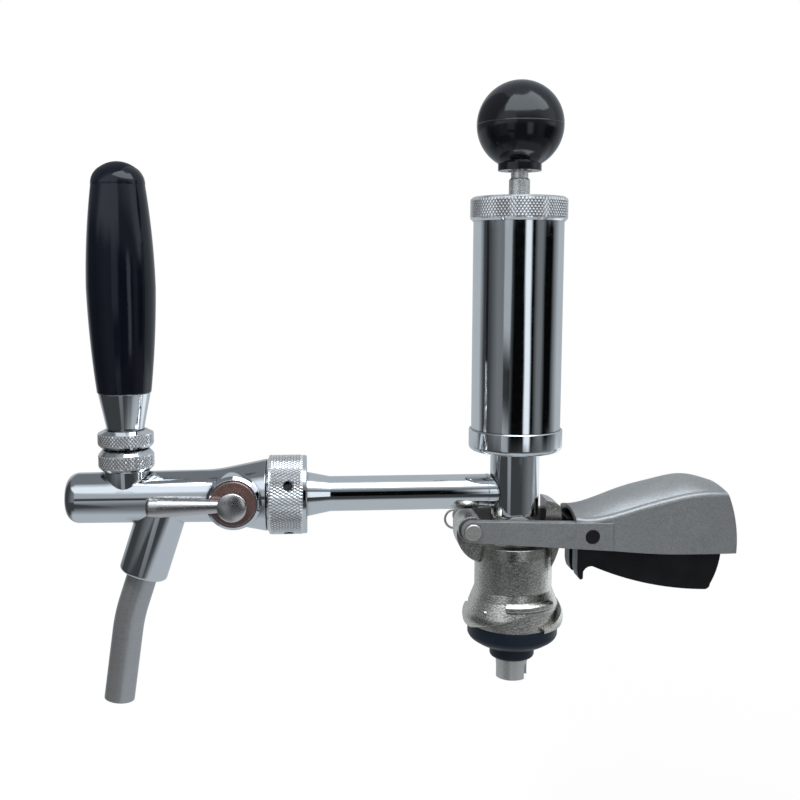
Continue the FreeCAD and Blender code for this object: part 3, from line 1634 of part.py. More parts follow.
def tap_bores(handle):
    at, along = tap_place()
    axial = turned("tap_bore", [
        (Size(0), book.inletFace - book.overrun),
        (book.inletBore, book.inletFace - book.overrun),
        (book.inletBore, book.taperStart),
        (book.seatBoreRadius + book.threadGap, book.taperEnd),
        (book.seatBoreRadius + book.threadGap, book.seatShelf),
        (book.valveBore, book.seatShelf),
        (book.valveBore, book.valveBoreEnd),
        (Size(0), book.valveBoreEnd),
    ], at, along)
    lever_bore = rod("lever_bore", book.boreOfBoss, book.bossSpigotHeight * 2, handle)
    gland = turned("gland_bore", [
        (Size(0), Size(0)),
        (book.glandThroat, Size(0)),
        (book.glandThroat, book.glandDepth),
        (book.glandRadius + book.threadGap, book.glandDepth),
        (book.glandRadius + book.threadGap, book.hubBossLength + book.overrun),
        (Size(0), book.hubBossLength + book.overrun),
    ], (-book.hubReach, Size(0), book.tapAxisHeight), to_front)
    recess = rod("gland_recess", book.glandFaceRadius + book.threadGap, book.hubBossLength,
                 (-book.hubReach, -(book.glandFace - book.glandFlange), book.tapAxisHeight),
                 to_front)
    ring_top = book.spoutRingSeat + book.spoutRingWidth
    spout = turned("spout_bore", [
        (Size(0), Size(0)),
        (book.spoutRadius - book.spoutWall, Size(0)),
        (book.spoutRadius - book.spoutWall, book.spoutSocket),
        (book.spoutRadius + book.threadGap, book.spoutSocket),
        (book.spoutRadius + book.threadGap, book.spoutRingSeat),
        (book.spoutRadius + book.spoutRingDepth, book.spoutRingSeat),
        (book.spoutRadius + book.spoutRingDepth, ring_top),
        (book.spoutRadius + book.threadGap, ring_top),
        (book.spoutRadius + book.threadGap, book.spoutBossLength + book.overrun),
        (Size(0), book.spoutBossLength + book.overrun),
    ], spout_point(), spout_direction())
    return [axial, lever_bore, gland, recess, spout]


def make_tap_fittings():
    at, along = tap_place()
    keep(turned("inlet_washer", [
        (book.washerBore, book.flangeFace),
        (book.shankFlangeRadius, book.flangeFace),
        (book.shankFlangeRadius, book.inletFace),
        (book.washerBore, book.inletFace),
    ], at, along), "inlet_washer")
    keep(turned("valve_seat", [
        (book.seatRingBore, book.seatShelf - book.seatRingWidth),
        (book.seatBoreRadius, book.seatShelf - book.seatRingWidth),
        (book.seatBoreRadius, book.seatShelf),
        (book.seatRingBore, book.seatShelf),
    ], at, along), "valve_seat")
    ring_top = book.spoutRingSeat + book.spoutRingWidth
    keep(turned("spout_ring", [
        (book.spoutRadius, book.spoutRingSeat),
        (book.spoutRadius + book.spoutRingDepth, book.spoutRingSeat),
        (book.spoutRadius + book.spoutRingDepth, ring_top),
        (book.spoutRadius, ring_top),
    ], spout_point(), spout_direction()), "spout_ring")
    direction = spout_direction()
    start = book.spoutSocket + book.touchGap
    lean = book.spoutLean
    at_spout = (-(book.spoutReach + start * sine(lean)), Size(0),
                book.tapAxisHeight - start * cosine(lean))
    tube = pipe("spout_tube", book.spoutRadius, book.spoutWall, book.spoutRun - book.touchGap,
                book.spoutBendRadius, book.spoutBend, book.spoutTail, at_spout, direction)
    keep(tube, "spout_tube")
    make_nut(at, along)
    make_collar()


def make_nut(at, along):
    start = book.nutStart
    edge = book.nutChamfer
    bore = book.spigotRadius + book.threadGap
    turning = turned("nut_turning", [
        (book.nutHoleRadius, start),
        (book.nutRadius - book.smallEdge, start),
        (book.nutRadius, start + book.smallEdge),
        (book.nutRadius, book.flareEnd - edge),
        (book.nutRadius - edge, book.flareEnd),
        (bore, book.flareEnd),
        (bore, start + book.nutEndWall),
        (book.nutHoleRadius, start + book.nutEndWall),
    ], at, along)
    depth = book.nutRadius - book.spannerHoleDepth
    middle = start + book.spannerHoleInset

    def spanner_hole(index, angle):
        turn = angle + book.spannerHoleTurn.number
        front, high = polar(1.0, turn)
        direction = FreeCAD.Vector(0, -front, high)
        point = (-middle, depth * direction.y, book.tapAxisHeight + depth * direction.z)
        return rod("spanner_hole_%d" % index, book.spannerHoleRadius,
                   book.spannerHoleDepth * 2, point, direction)

    holes = ring_of("spanner_holes", spanner_hole, int(nut_sizes["spannerHoleCount"]))
    keep(cut("coupling_nut", turning, [holes]), "coupling_nut")


def handle_point():
    return (-book.handleReach, Size(0), book.tapAxisHeight)


def make_collar():
    top = book.collarTop
    foot = book.bossHeight
    lip = top - book.collarLip
    inner = book.bossSpigotRadius + book.threadGap
    keep(turned("lever_collar", [
        (inner, foot),
        (book.collarRadius - book.collarFootSlope, foot),
        (book.collarRadius, foot + book.collarFootSlope),
        (book.collarRadius, top - book.collarSlope),
        (book.collarFlat, top),
        (book.collarBore, top),
        (book.collarBore, lip),
        (inner, lip),
    ], handle_point()), "lever_collar")
    keep(turned("lever_seat", [
        (book.seatRingInner, book.bossSpigotHeight),
        (book.bossSpigotRadius, book.bossSpigotHeight),
        (book.bossSpigotRadius, lip),
        (book.seatRingInner, lip),
    ], handle_point()), "lever_seat")


def make_handle():
    at = handle_point()
    foot = book.jamNutFoot
    top = foot + book.jamNutHeight
    edge = book.jamNutChamfer
    slope = book.jamNutTopSlope
    screw = book.leverScrewRadius + book.threadGap
    keep(turned("jam_nut", [
        (screw, foot + book.jamNutDishDepth),
        (book.jamNutDishRadius, foot + book.jamNutDishDepth),
        (book.jamNutDishRadius, foot),
        (book.collarRadius - edge, foot),
        (book.collarRadius, foot + edge),
        (book.collarRadius, top - slope / 2),
        (book.collarRadius - slope, top),
        (screw, top),
    ], at), "jam_nut")
    ferrule_top = top + book.ferruleHeight
    keep(turned("handle_ferrule", [
        (screw, top),
        (book.ferruleFootRadius, top),
        (book.ferruleFootRadius + book.ferruleLip, top + book.ferruleLipHeight),
        (book.ferruleTopRadius, ferrule_top),
        (screw, ferrule_top),
    ], at), "handle_ferrule")
    grip = ferrule_top
    rise = book.gripHeight - book.gripCrownHeight
    crown = book.gripCrownRadius
    top_arc = (crown * crown + rise * rise) / (rise * 2)
    keep(turned("tap_grip", [
        (screw, grip),
        (book.gripFootRadius - book.smallEdge, grip),
        (book.gripFootRadius, grip + book.smallEdge),
        (book.gripBellyRadius, grip + book.gripBellyHeight, book.gripLowArc, 1),
        (book.gripShoulderRadius, grip + book.gripShoulderHeight, book.gripHighArc, 1),
        (book.gripCrownRadius, grip + book.gripCrownHeight, book.gripCrownArc, 1),
        (Size(0), grip + book.gripHeight, top_arc, 1),
        (Size(0), grip + book.gripScrewDepth + book.freeGap),
        (screw, grip + book.gripScrewDepth + book.freeGap),
    ], at), "tap_grip")
    make_handle_lever(at, foot, grip)


def make_handle_lever(at, foot, grip):
    """The ball lever inside the tap: a screw up to the grip, a ball, and a finger below."""
    centre = book.handleBallHeight
    stem = turned("handle_screw", [
        (Size(0), centre),
        (book.leverNeckRadius, centre),
        (book.leverNeckRadius, foot),
        (book.leverScrewRadius, foot + book.smallEdge),
        (book.leverScrewRadius, grip + book.gripScrewDepth),
        (Size(0), grip + book.gripScrewDepth),
    ], at)
    height = book.tapAxisHeight
    pivot = ball("handle_ball", book.handleBallRadius,
                 (-book.handleReach, Size(0), height + centre))
    finger = rod("handle_finger", book.fingerRadius, centre, at)
    tip = ball("handle_finger_tip", book.fingerTipRadius, at)
    keep(fuse("handle_lever", [stem, pivot, finger, tip]), "handle_lever")


def make_valve():
    at, along = tap_place()
    seal_end = book.seatShelf - book.seatRingWidth - book.freeGap
    seal_start = seal_end - book.discSealWidth
    disc_start = seal_start - book.discWidth
    shaft = turned("valve_turning", [
        (Size(0), disc_start),
        (book.discRadius, disc_start),
        (book.discRadius, seal_start),
        (book.shaftRadius, seal_start),
        (book.shaftRadius, book.landStart),
        (book.valveBore - book.runGap, book.landStart),
        (book.valveBore - book.runGap, book.landEnd),
        (Size(0), book.landEnd),
    ], at, along)
    slot = rod("finger_slot", book.fingerTipRadius + book.freeGap, book.valveBore * 2,
               (-book.handleReach, Size(0), book.tapAxisHeight - book.fingerSlotDepth))
    swing = book.fingerTipRadius + book.freeGap
    relief = block("finger_relief", (book.fingerSlotRelief, swing * 2, book.valveBore * 2),
                   (-(book.handleReach + book.fingerSlotRelief), -swing,
                    book.tapAxisHeight + book.fingerTipRadius))
    keep(cut("valve_piston", shaft, [slot, relief]), "valve_piston")
    keep(turned("valve_seal", [
        (book.shaftRadius, seal_start),
        (book.discRadius, seal_start),
        (book.discRadius - book.smallEdge, seal_end),
        (book.shaftRadius, seal_end),
    ], at, along), "valve_seal")


def make_compensator():
    height = book.tapAxisHeight
    at = (-book.hubReach, Size(0), height)
    face = book.glandFace
    bore = book.hubRadius + book.runGap
    keep(turned("gland", [
        (bore, book.glandDepth + book.glandRingHeight),
        (book.glandRadius, book.glandDepth + book.glandRingHeight),
        (book.glandRadius, face - book.glandFlange),
        (book.glandFaceRadius, face - book.glandFlange),
        (book.glandFaceRadius, face - book.smallEdge),
        (book.glandFaceRadius - book.smallEdge, face),
        (bore, face),
    ], at, to_front), "gland")
    keep(turned("gland_ring", [
        (book.hubRadius + book.freeGap, book.glandDepth),
        (book.glandRadius, book.glandDepth),
        (book.glandRadius, book.glandDepth + book.glandRingHeight),
        (book.hubRadius + book.freeGap, book.glandDepth + book.glandRingHeight),
    ], at, to_front), "gland_ring")
    hub = turned("hub_turning", [
        (Size(0), book.hubShaftEnd),
        (book.hubRadius - book.smallEdge, book.hubShaftEnd),
        (book.hubRadius, book.hubShaftEnd + book.smallEdge),
        (book.hubRadius, book.hubEnd - book.hubEndRound),
        (book.hubRadius - book.hubEndRound, book.hubEnd, book.hubEndRound, 1),
        (Size(0), book.hubEnd + book.hubDome),
    ], at, to_front)
    crank = rod("crank_pin", book.crankPinRadius, book.hubShaftEnd - book.crankPinEnd + book.overrun,
                (-book.hubReach, -book.crankPinEnd, height + book.crankThrow), to_front)
    arm = turned("hub_arm", [
        (Size(0), Size(0)),
        (book.rodRootRadius, Size(0)),
        (book.rodRootRadius, book.hubRadius / 2),
        (book.rodFullRadius, book.rodFullReach),
        (book.rodFullRadius, book.rodReach - book.rodTipChamfer),
        (book.rodTipRadius, book.rodReach),
        (Size(0), book.rodReach),
    ], (-book.hubReach, -book.rodAxis, height), to_tap)
    keep(fuse("compensator_lever", [hub, crank, arm]), "compensator_lever")
    make_compensator_cone()


def make_compensator_cone():
    at, along = tap_place()
    middle = book.hubReach
    groove = book.coneGrooveHalf
    land = book.coneLandWidth
    guide_end = book.coneGuideStart + book.coneGuideWidth
    turning = turned("cone_turning", [
        (Size(0), book.coneGuideStart),
        (book.inletBore - book.runGap, book.coneGuideStart),
        (book.inletBore - book.runGap, guide_end),
        (book.coneShaftRadius, guide_end),
        (book.coneShaftRadius, middle - groove - land),
        (book.coneLandRadius, middle - groove - land),
        (book.coneLandRadius, middle - groove),
        (book.coneGrooveRadius, middle - groove),
        (book.coneGrooveRadius, middle + groove),
        (book.coneLandRadius, middle + groove),
        (book.coneLandRadius, middle + groove + land),
        (book.coneTipRadius, book.coneEnd),
        (Size(0), book.coneEnd),
    ], at, along)
    height = book.tapAxisHeight

    def flute(index, angle):
        y, z = polar(book.coneFlutePitch, angle)
        return rod("cone_flute_%d" % index, book.coneFluteRadius, book.coneGuideWidth * 3,
                   (-(book.coneGuideStart - book.coneGuideWidth), y, height + z), to_tap)

    flutes = ring_of("cone_flutes", flute, int(compensator_sizes["coneFluteCount"]))
    keep(cut("compensator_cone", turning, [flutes]), "compensator_cone")


def check_document():
    """Stops where a feature failed or a finished piece has no sound shape."""
    failed = [t.Name for t in doc.Objects if "Invalid" in t.State or "Error" in t.State]
    if failed:
        raise RuntimeError("failed: " + ", ".join(failed))
    unsound = [p.Label for p in nodes if p.Shape.isNull() or not p.Shape.isValid()]
    if unsound:
        raise RuntimeError("no sound shape: " + ", ".join(unsound))


def write_pieces():
    os.makedirs("parts", exist_ok=True)
    for piece in nodes:
        piece.Shape.exportStep("parts/%s.step" % piece.Label)
        solids = len(piece.Shape.Solids)
        print("%-20s solids %d volume %.1f" % (piece.Label, solids, piece.Shape.Volume))


make_keg_seal()
make_casting()
make_probe()
make_probe_fittings()
make_beer_tube()
make_stem()
make_shank()
make_pump_base()
make_cap()
make_plunger()
make_lever()
make_trigger()
make_lever_fittings()
make_pivot_pin()
make_tap_body()
make_tap_fittings()
make_handle()
make_valve()
make_compensator()
doc.recompute()
check_document()
write_pieces()
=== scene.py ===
import json
import math

import bmesh
import bpy
from mathutils import Matrix, Vector

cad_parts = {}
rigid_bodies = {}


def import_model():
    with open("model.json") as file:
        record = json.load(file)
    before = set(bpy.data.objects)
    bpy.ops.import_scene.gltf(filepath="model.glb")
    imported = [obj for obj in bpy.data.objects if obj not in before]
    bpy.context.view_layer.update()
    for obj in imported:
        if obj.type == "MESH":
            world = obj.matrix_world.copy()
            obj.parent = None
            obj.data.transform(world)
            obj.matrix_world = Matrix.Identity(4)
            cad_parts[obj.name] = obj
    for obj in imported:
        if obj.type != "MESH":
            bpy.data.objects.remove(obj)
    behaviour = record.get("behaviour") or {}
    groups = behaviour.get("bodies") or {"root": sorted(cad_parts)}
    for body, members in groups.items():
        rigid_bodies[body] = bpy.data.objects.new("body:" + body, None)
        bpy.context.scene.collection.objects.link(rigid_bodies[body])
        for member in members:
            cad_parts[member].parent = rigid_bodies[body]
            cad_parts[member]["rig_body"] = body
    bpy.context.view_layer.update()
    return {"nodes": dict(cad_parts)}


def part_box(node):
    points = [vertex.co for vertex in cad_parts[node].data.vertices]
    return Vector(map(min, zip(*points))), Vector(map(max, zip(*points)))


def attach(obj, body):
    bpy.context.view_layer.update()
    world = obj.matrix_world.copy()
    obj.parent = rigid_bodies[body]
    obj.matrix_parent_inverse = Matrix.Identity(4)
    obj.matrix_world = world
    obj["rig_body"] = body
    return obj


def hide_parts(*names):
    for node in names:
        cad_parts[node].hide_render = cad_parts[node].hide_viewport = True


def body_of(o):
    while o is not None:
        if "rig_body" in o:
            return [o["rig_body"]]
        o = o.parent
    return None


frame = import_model()
nodes = frame["nodes"]
scene = bpy.context.scene
mm = 0.001
print("frame loaded,", len(nodes), "pieces")


# Materials. Each one is a small tree on object coordinates, which are the frame's own metres,
# so a noise's scale is the number of its waves in a metre. Depths, edges and reaches are in
# metres too.

traceSamples = 6             # rays that find crevices and round the edges


def newMaterial(name):
    material = bpy.data.materials.new(name)
    material.use_nodes = True
    return material, material.node_tree, material.node_tree.nodes["Principled BSDF"]


def addNode(tree, kind, **settings):
    node = tree.nodes.new(kind)
    for name, value in settings.items():
        setattr(node, name, value)
    return node


def calc(tree, operation, *values):
    node = addNode(tree, "ShaderNodeMath", operation=operation)
    for index, value in enumerate(values):
        if isinstance(value, (int, float)):
            node.inputs[index].default_value = value
        else:
            tree.links.new(value, node.inputs[index])
    return node.outputs[0]


def splitPlace(tree, place):
    parts = addNode(tree, "ShaderNodeSeparateXYZ")
    tree.links.new(place, parts.inputs[0])
    return parts.outputs


def noiseAt(tree, scale, detail=2.0, roughness=0.5):
    place = addNode(tree, "ShaderNodeTexCoord")
    mapping = addNode(tree, "ShaderNodeMapping")
    mapping.inputs["Scale"].default_value = scale if isinstance(scale, tuple) else (scale,) * 3
    tree.links.new(place.outputs["Object"], mapping.inputs["Vector"])
    noise = addNode(tree, "ShaderNodeTexNoise")
    noise.inputs["Scale"].default_value = 1.0
    noise.inputs["Detail"].default_value = detail
    noise.inputs["Roughness"].default_value = roughness
    tree.links.new(mapping.outputs["Vector"], noise.inputs["Vector"])
    return noise.outputs["Fac"]


def spread(tree, value, low, high, fromLow=0.3, fromHigh=0.7):
    span = addNode(tree, "ShaderNodeMapRange", interpolation_type="SMOOTHSTEP")
    span.inputs["From Min"].default_value = fromLow
    span.inputs["From Max"].default_value = fromHigh
    span.inputs["To Min"].default_value = low
    span.inputs["To Max"].default_value = high
    tree.links.new(value, span.inputs["Value"])
    return span.outputs["Result"]


def shaded(tint, share, lift=0.0):
    return tuple(part * share + lift for part in tint)


def blendColours(tree, share, *colours):
    mix = addNode(tree, "ShaderNodeMix", data_type="RGBA")
    tree.links.new(share, mix.inputs["Factor"])
    for side, colour in zip("AB", colours):
        if isinstance(colour, tuple):
            mix.inputs[side].default_value = (*colour, 1)
        else:
            tree.links.new(colour, mix.inputs[side])
    return mix.outputs["Result"]


def bumpFrom(tree, height, depth, normal):
    bump = addNode(tree, "ShaderNodeBump")
    bump.inputs["Strength"].default_value = 1.0
    bump.inputs["Distance"].default_value = depth
    tree.links.new(height, bump.inputs["Height"])
    tree.links.new(normal, bump.inputs["Normal"])
    return bump.outputs["Normal"]


# Painted shade: darkens a colour towards dark where the ambient-occlusion rays find crevices,
# gaps and hollows within reach.
def paintShadeInCrevices(tree, colour, reach, dark):
    hollow = addNode(tree, "ShaderNodeAmbientOcclusion", samples=traceSamples)
    hollow.inputs["Distance"].default_value = reach
    shade = spread(tree, hollow.outputs["AO"], dark, 1, fromLow=0.25, fromHigh=0.9)
    level = addNode(tree, "ShaderNodeVectorMath", operation="SCALE")
    tree.links.new(colour, level.inputs[0])
    tree.links.new(shade, level.inputs["Scale"])
    return level.outputs[0]


def roundEdge(tree, radius):
    bevel = addNode(tree, "ShaderNodeBevel", samples=traceSamples)
    bevel.inputs["Radius"].default_value = radius
    return bevel.outputs["Normal"]


polishLook = {
    "wear": {"scale": 260, "detail": 6.0, "roughness": 0.6},
    "grain": {"scale": 1500, "detail": 3.0},
    "grainDepth": 0.0000015,
}


def polish(tree, shader, rough, normal):
    wear = noiseAt(tree, **polishLook["wear"])
    tree.links.new(spread(tree, wear, *rough), shader.inputs["Roughness"])
    grain = noiseAt(tree, **polishLook["grain"])
    normal = bumpFrom(tree, grain, polishLook["grainDepth"], normal)
    tree.links.new(normal, shader.inputs["Normal"])


plateLook = {
    "clouds": {"scale": 45, "detail": 4.0},
    "cloudShade": 0.93,
    "ripples": {"scale": (22, 22, 9), "detail": 1.0},
}


# Chrome plate: a tint with random clouds of tone, painted shade in its crevices (reach, dark),
# ripples and worn roughness.
def chromePlate(name, tint, rough=(0.03, 0.09), ripple=0.00006, edge=0.00035, reach=0.0022,
                dark=0.12):
    material, tree, shader = newMaterial(name)
    shader.inputs["Metallic"].default_value = 1.0
    clouds = noiseAt(tree, **plateLook["clouds"])
    colour = blendColours(tree, clouds, shaded(tint, plateLook["cloudShade"]), tint)
    tree.links.new(paintShadeInCrevices(tree, colour, reach, dark), shader.inputs["Base Color"])
    ripples = noiseAt(tree, **plateLook["ripples"])
    polish(tree, shader, rough, bumpFrom(tree, ripples, ripple, roundEdge(tree, edge)))
    return material


turnedLook = {
    "lines": {"detail": 3.0, "roughness": 0.7},
    "lineShade": 0.86,
}


def turnedSteel(name, tint, grain, rough=(0.22, 0.34), depth=0.000004, edge=0.0003,
                metallic=0.75):
    material, tree, shader = newMaterial(name)
    shader.inputs["Metallic"].default_value = metallic
    lines = noiseAt(tree, grain, **turnedLook["lines"])
    colour = blendColours(tree, lines, shaded(tint, turnedLook["lineShade"]), tint)
    tree.links.new(colour, shader.inputs["Base Color"])
    tree.links.new(spread(tree, lines, *rough), shader.inputs["Roughness"])
    normal = bumpFrom(tree, lines, depth, roundEdge(tree, edge))
    tree.links.new(normal, shader.inputs["Normal"])
    return material


# The teeth's colour is painted light: by the crest attribute, tips take the full tint as a
# painted highlight and valleys drop to valleyShade as painted shade; random clouds of tone dim
# some teeth.
toothLook = {
    "metallic": 0.8,
    "valleyShade": 0.15,
    "crestFrom": -0.05,          # the crest values between which a tooth turns bright
    "crestTo": 0.38,
    "clouds": {"scale": 700, "detail": 3.0},
    "cloudShade": 0.82,
}


def knurlMetal(name, tint, rough=(0.06, 0.14), edge=0.00004):
    material, tree, shader = newMaterial(name)
    shader.inputs["Metallic"].default_value = toothLook["metallic"]
    crest = addNode(tree, "ShaderNodeAttribute", attribute_name="crest")
    fill = spread(tree, crest.outputs["Fac"], 0, 1, fromLow=toothLook["crestFrom"],
                  fromHigh=toothLook["crestTo"])
    clouds = noiseAt(tree, **toothLook["clouds"])
    paintedLightAndTone = calc(tree, "MULTIPLY", fill, spread(tree, clouds, toothLook["cloudShade"], 1))
    colour = blendColours(tree, paintedLightAndTone, shaded(tint, toothLook["valleyShade"]), tint)
    tree.links.new(colour, shader.inputs["Base Color"])
    polish(tree, shader, rough, roundEdge(tree, edge))
    return material


castLook = {
    "clouds": {"scale": 70, "detail": 5.0, "roughness": 0.6},
    "coarse": {"detail": 3.0, "roughness": 0.55},
    "fine": {"detail": 3.0, "roughness": 0.6},
    # The coarse grain's speckle is partly the cast surface's own tone and partly painted glints
    # of its sandy grain.
    "speckle": 0.35,             # how far the coarse grain moves the clouds
    "speckleFrom": 0.35,
    "speckleTo": 0.65,
    # Reach and dark set the painted shade in crevices and under overhangs, such as beneath the
    # lever.
    "reach": 0.006,
    "dark": 0.12,
}


# Cast metal: random clouds of tone, a speckle that is partly painted glints, painted shade in
# crevices, and a grainy bump.
def castMetal(name, tints, rough, grains, depths, metallic=1.0, edge=0.0006):
    material, tree, shader = newMaterial(name)
    shader.inputs["Metallic"].default_value = metallic
    clouds = noiseAt(tree, **castLook["clouds"])
    coarse = noiseAt(tree, grains[0], **castLook["coarse"])
    fine = noiseAt(tree, grains[1], **castLook["fine"])
    speckle = spread(tree, coarse, -castLook["speckle"], castLook["speckle"],
                     fromLow=castLook["speckleFrom"], fromHigh=castLook["speckleTo"])
    colour = blendColours(tree, calc(tree, "ADD", clouds, speckle), *tints)
    colour = paintShadeInCrevices(tree, colour, castLook["reach"], castLook["dark"])
    tree.links.new(colour, shader.inputs["Base Color"])
    tree.links.new(spread(tree, fine, *rough), shader.inputs["Roughness"])
    normal = bumpFrom(tree, coarse, depths[0], roundEdge(tree, edge))
    tree.links.new(bumpFrom(tree, fine, depths[1], normal), shader.inputs["Normal"])
    return material


glossLook = {
    "specular": 0.35,
    "coat": 0.1,
    "coatRoughness": 0.04,
    "smudges": {"scale": (90, 90, 60), "detail": 5.0, "roughness": 0.6},
    "smudgeShade": 1.6,
    "smudgeLift": 0.001,
    "waves": {"scale": (160, 160, 120), "detail": 2.0},
    "waveDepth": 0.00001,
    "edge": 0.0004,
    # The knob's mould seam is a small raised ridge, painted lighter along its line as a painted
    # highlight.
    "seamHighlightTint": (0.06, 0.06, 0.06),
    "seamFull": 0.0001,          # the distances from its middle where the seam's ridge falls
    "seamGone": 0.0004,
    "seamHeight": 0.00008,
}


def blackPolish(name, tint, rough=(0.06, 0.14), seam=None):
    material, tree, shader = newMaterial(name)
    shader.inputs["Specular IOR Level"].default_value = glossLook["specular"]
    shader.inputs["Coat Weight"].default_value = glossLook["coat"]
    shader.inputs["Coat Roughness"].default_value = glossLook["coatRoughness"]
    smudges = noiseAt(tree, **glossLook["smudges"])
    lighter = shaded(tint, glossLook["smudgeShade"], glossLook["smudgeLift"])
    colour = blendColours(tree, smudges, tint, lighter)
    tree.links.new(spread(tree, smudges, *rough), shader.inputs["Roughness"])
    waves = noiseAt(tree, **glossLook["waves"])
    normal = bumpFrom(tree, waves, glossLook["waveDepth"], roundEdge(tree, glossLook["edge"]))
    # The seam: a bump ridge, with its colour lightened along the line as a painted highlight
    # mixed with the smudges.
    if seam is not None:
        place = splitPlace(tree, addNode(tree, "ShaderNodeTexCoord").outputs["Object"])
        away = calc(tree, "ABSOLUTE", calc(tree, "SUBTRACT", place["Z"], seam))
        ridge = spread(tree, away, 1, 0, fromLow=glossLook["seamFull"],
                       fromHigh=glossLook["seamGone"])
        paintedLightAndTone = blendColours(tree, smudges, tint, glossLook["seamHighlightTint"])
        colour = blendColours(tree, ridge, colour, paintedLightAndTone)
        normal = bumpFrom(tree, ridge, glossLook["seamHeight"], normal)
    tree.links.new(colour, shader.inputs["Base Color"])
    tree.links.new(normal, shader.inputs["Normal"])
    return material


softLook = {
    "clouds": {"scale": 110, "detail": 4.0},
    "cloudShade": 1.5,
    "cloudLift": 0.002,
    "grain": 3200,
    "grainDepth": 0.00001,
    "edge": 0.0005,
}


def softBlack(name, tint, rough, gloss, grain=softLook["grain"]):
    material, tree, shader = newMaterial(name)
    shader.inputs["Specular IOR Level"].default_value = gloss
    clouds = noiseAt(tree, **softLook["clouds"])
    lighter = shaded(tint, softLook["cloudShade"], softLook["cloudLift"])
    tree.links.new(blendColours(tree, clouds, tint, lighter), shader.inputs["Base Color"])
    tree.links.new(spread(tree, clouds, *rough), shader.inputs["Roughness"])
    skin = bumpFrom(tree, noiseAt(tree, grain), softLook["grainDepth"],
                    roundEdge(tree, softLook["edge"]))
    tree.links.new(skin, shader.inputs["Normal"])
    return material


barrelChrome = chromePlate("barrelChrome", (0.86, 0.87, 0.88))
castChrome = chromePlate("tapChrome", (0.85, 0.86, 0.88), ripple=0.00004)
# The knurled rings' chrome takes the deepest painted shade, nearly black in their gaps and holes.
knurlChrome = chromePlate("knurlChrome", (0.86, 0.87, 0.88), rough=(0.05, 0.12), edge=0.0002,
                          reach=0.004, dark=0.02)
brightSteel = turnedSteel("rodSteel", (0.66, 0.66, 0.63), (90, 90, 3600))
leverSteel = turnedSteel("flowLeverSteel", (0.78, 0.73, 0.71), (80, 3600, 3600),
                         rough=(0.24, 0.3), depth=0.000001, edge=0.0012, metallic=1.0)
domeSteel = turnedSteel("domeSteel", (0.85, 0.8, 0.77), 900, rough=(0.25, 0.31),
                        depth=0.0000005, metallic=1.0)
spoutSteel = turnedSteel("spoutSteel", (0.50, 0.51, 0.52), (60, 60, 700), rough=(0.26, 0.3),
                         depth=0.000001)
innerSteel = turnedSteel("innerSteel", (0.60, 0.60, 0.60), 900)
# The gland's dark red-brown tint is a painted reflection: it stands in for the reddish
# surroundings the ring mirrors.
glandMetal = turnedSteel("glandMetal", (0.27, 0.17, 0.155), 600, rough=(0.2, 0.26),
                         depth=0.000001, metallic=0.6)
insertMetal = turnedSteel("insertMetal", (0.66, 0.66, 0.63), (60, 60, 2600))
toothChrome = knurlMetal("toothChrome", (0.97, 0.98, 1.0))
castNickel = castMetal("castNickel", ((0.55, 0.52, 0.47), (0.92, 0.86, 0.78)), (0.12, 0.24),
                       (1100, 2600), (0.00012, 0.00007))
leverZinc = castMetal("leverZinc", ((0.27, 0.28, 0.285), (0.36, 0.37, 0.375)), (0.32, 0.44),
                      (1300, 3400), (0.00006, 0.00006), metallic=0.6)
ballRadius = 0.020
knobBlack = blackPolish("knobBlack", (0.004, 0.0045, 0.006), rough=(0.08, 0.16),
                        seam=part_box("ball_knob")[1].z - ballRadius)
gripBlack = blackPolish("gripBlack", (0.003, 0.004, 0.008))
triggerBlack = softBlack("triggerBlack", (0.006, 0.006, 0.007), (0.26, 0.36), 0.35)
pinBlack = softBlack("pinBlack", (0.006, 0.006, 0.007), (0.35, 0.5), 0.3)
sealRubber = softBlack("sealRubber", (0.004, 0.009, 0.018), (0.34, 0.44), 0.35, grain=2400)
print("materials made")


def dress(material, *names):
    for name in names:
        mesh = nodes[name].data
        mesh.materials.clear()
        mesh.materials.append(material)


dress(barrelChrome, "barrel", "stem", "shank", "pump_base")
dress(knurlChrome, "pump_cap", "coupling_nut", "lever_collar", "jam_nut")
dress(castChrome, "tap_body", "handle_ferrule")
dress(castNickel, "coupler_body")
dress(leverZinc, "lever_handle")
dress(brightSteel, "pump_rod", "probe", "trunnion_pins", "pivot_pin", "split_ring")
dress(innerSteel, "ball_pin", "check_ball", "beer_tube", "piston_plate", "piston_nut",
      "trigger_spring", "valve_seat", "handle_lever", "valve_piston")
dress(leverSteel, "compensator_lever")
dress(spoutSteel, "spout_tube")
dress(glandMetal, "gland")
dress(insertMetal, "knob_insert")
dress(knobBlack, "ball_knob")
dress(gripBlack, "tap_grip")
dress(triggerBlack, "trigger", "compensator_cone", "lever_seat", "rod_bush")
dress(pinBlack, "trigger_pin")
dress(sealRubber, "keg_seal", "probe_seal", "probe_rings", "air_valve", "barrel_gasket",
      "piston_cup", "inlet_washer", "spout_ring", "valve_seal", "gland_ring")
print("pieces dressed")


# Knurled bands. A tree makes one band of pointed teeth round the Z axis, which is then laid
# on its ring. Every other point of a wrapped grid is a tooth's tip, and the attribute crest
# tells the teeth's material which points are tips; the material paints the tips bright as a
# painted highlight and the valleys dark as painted shade.

bandInputs = {
    "NodeSocketFloat": ("Radius", "Depth", "Backing", "Low", "High", "Hole Radius",
                        "Hole Turn", "Hole Place"),
    "NodeSocketInt": ("Columns", "Rows", "Holes"),
    "NodeSocketMaterial": ("Finish",),
}

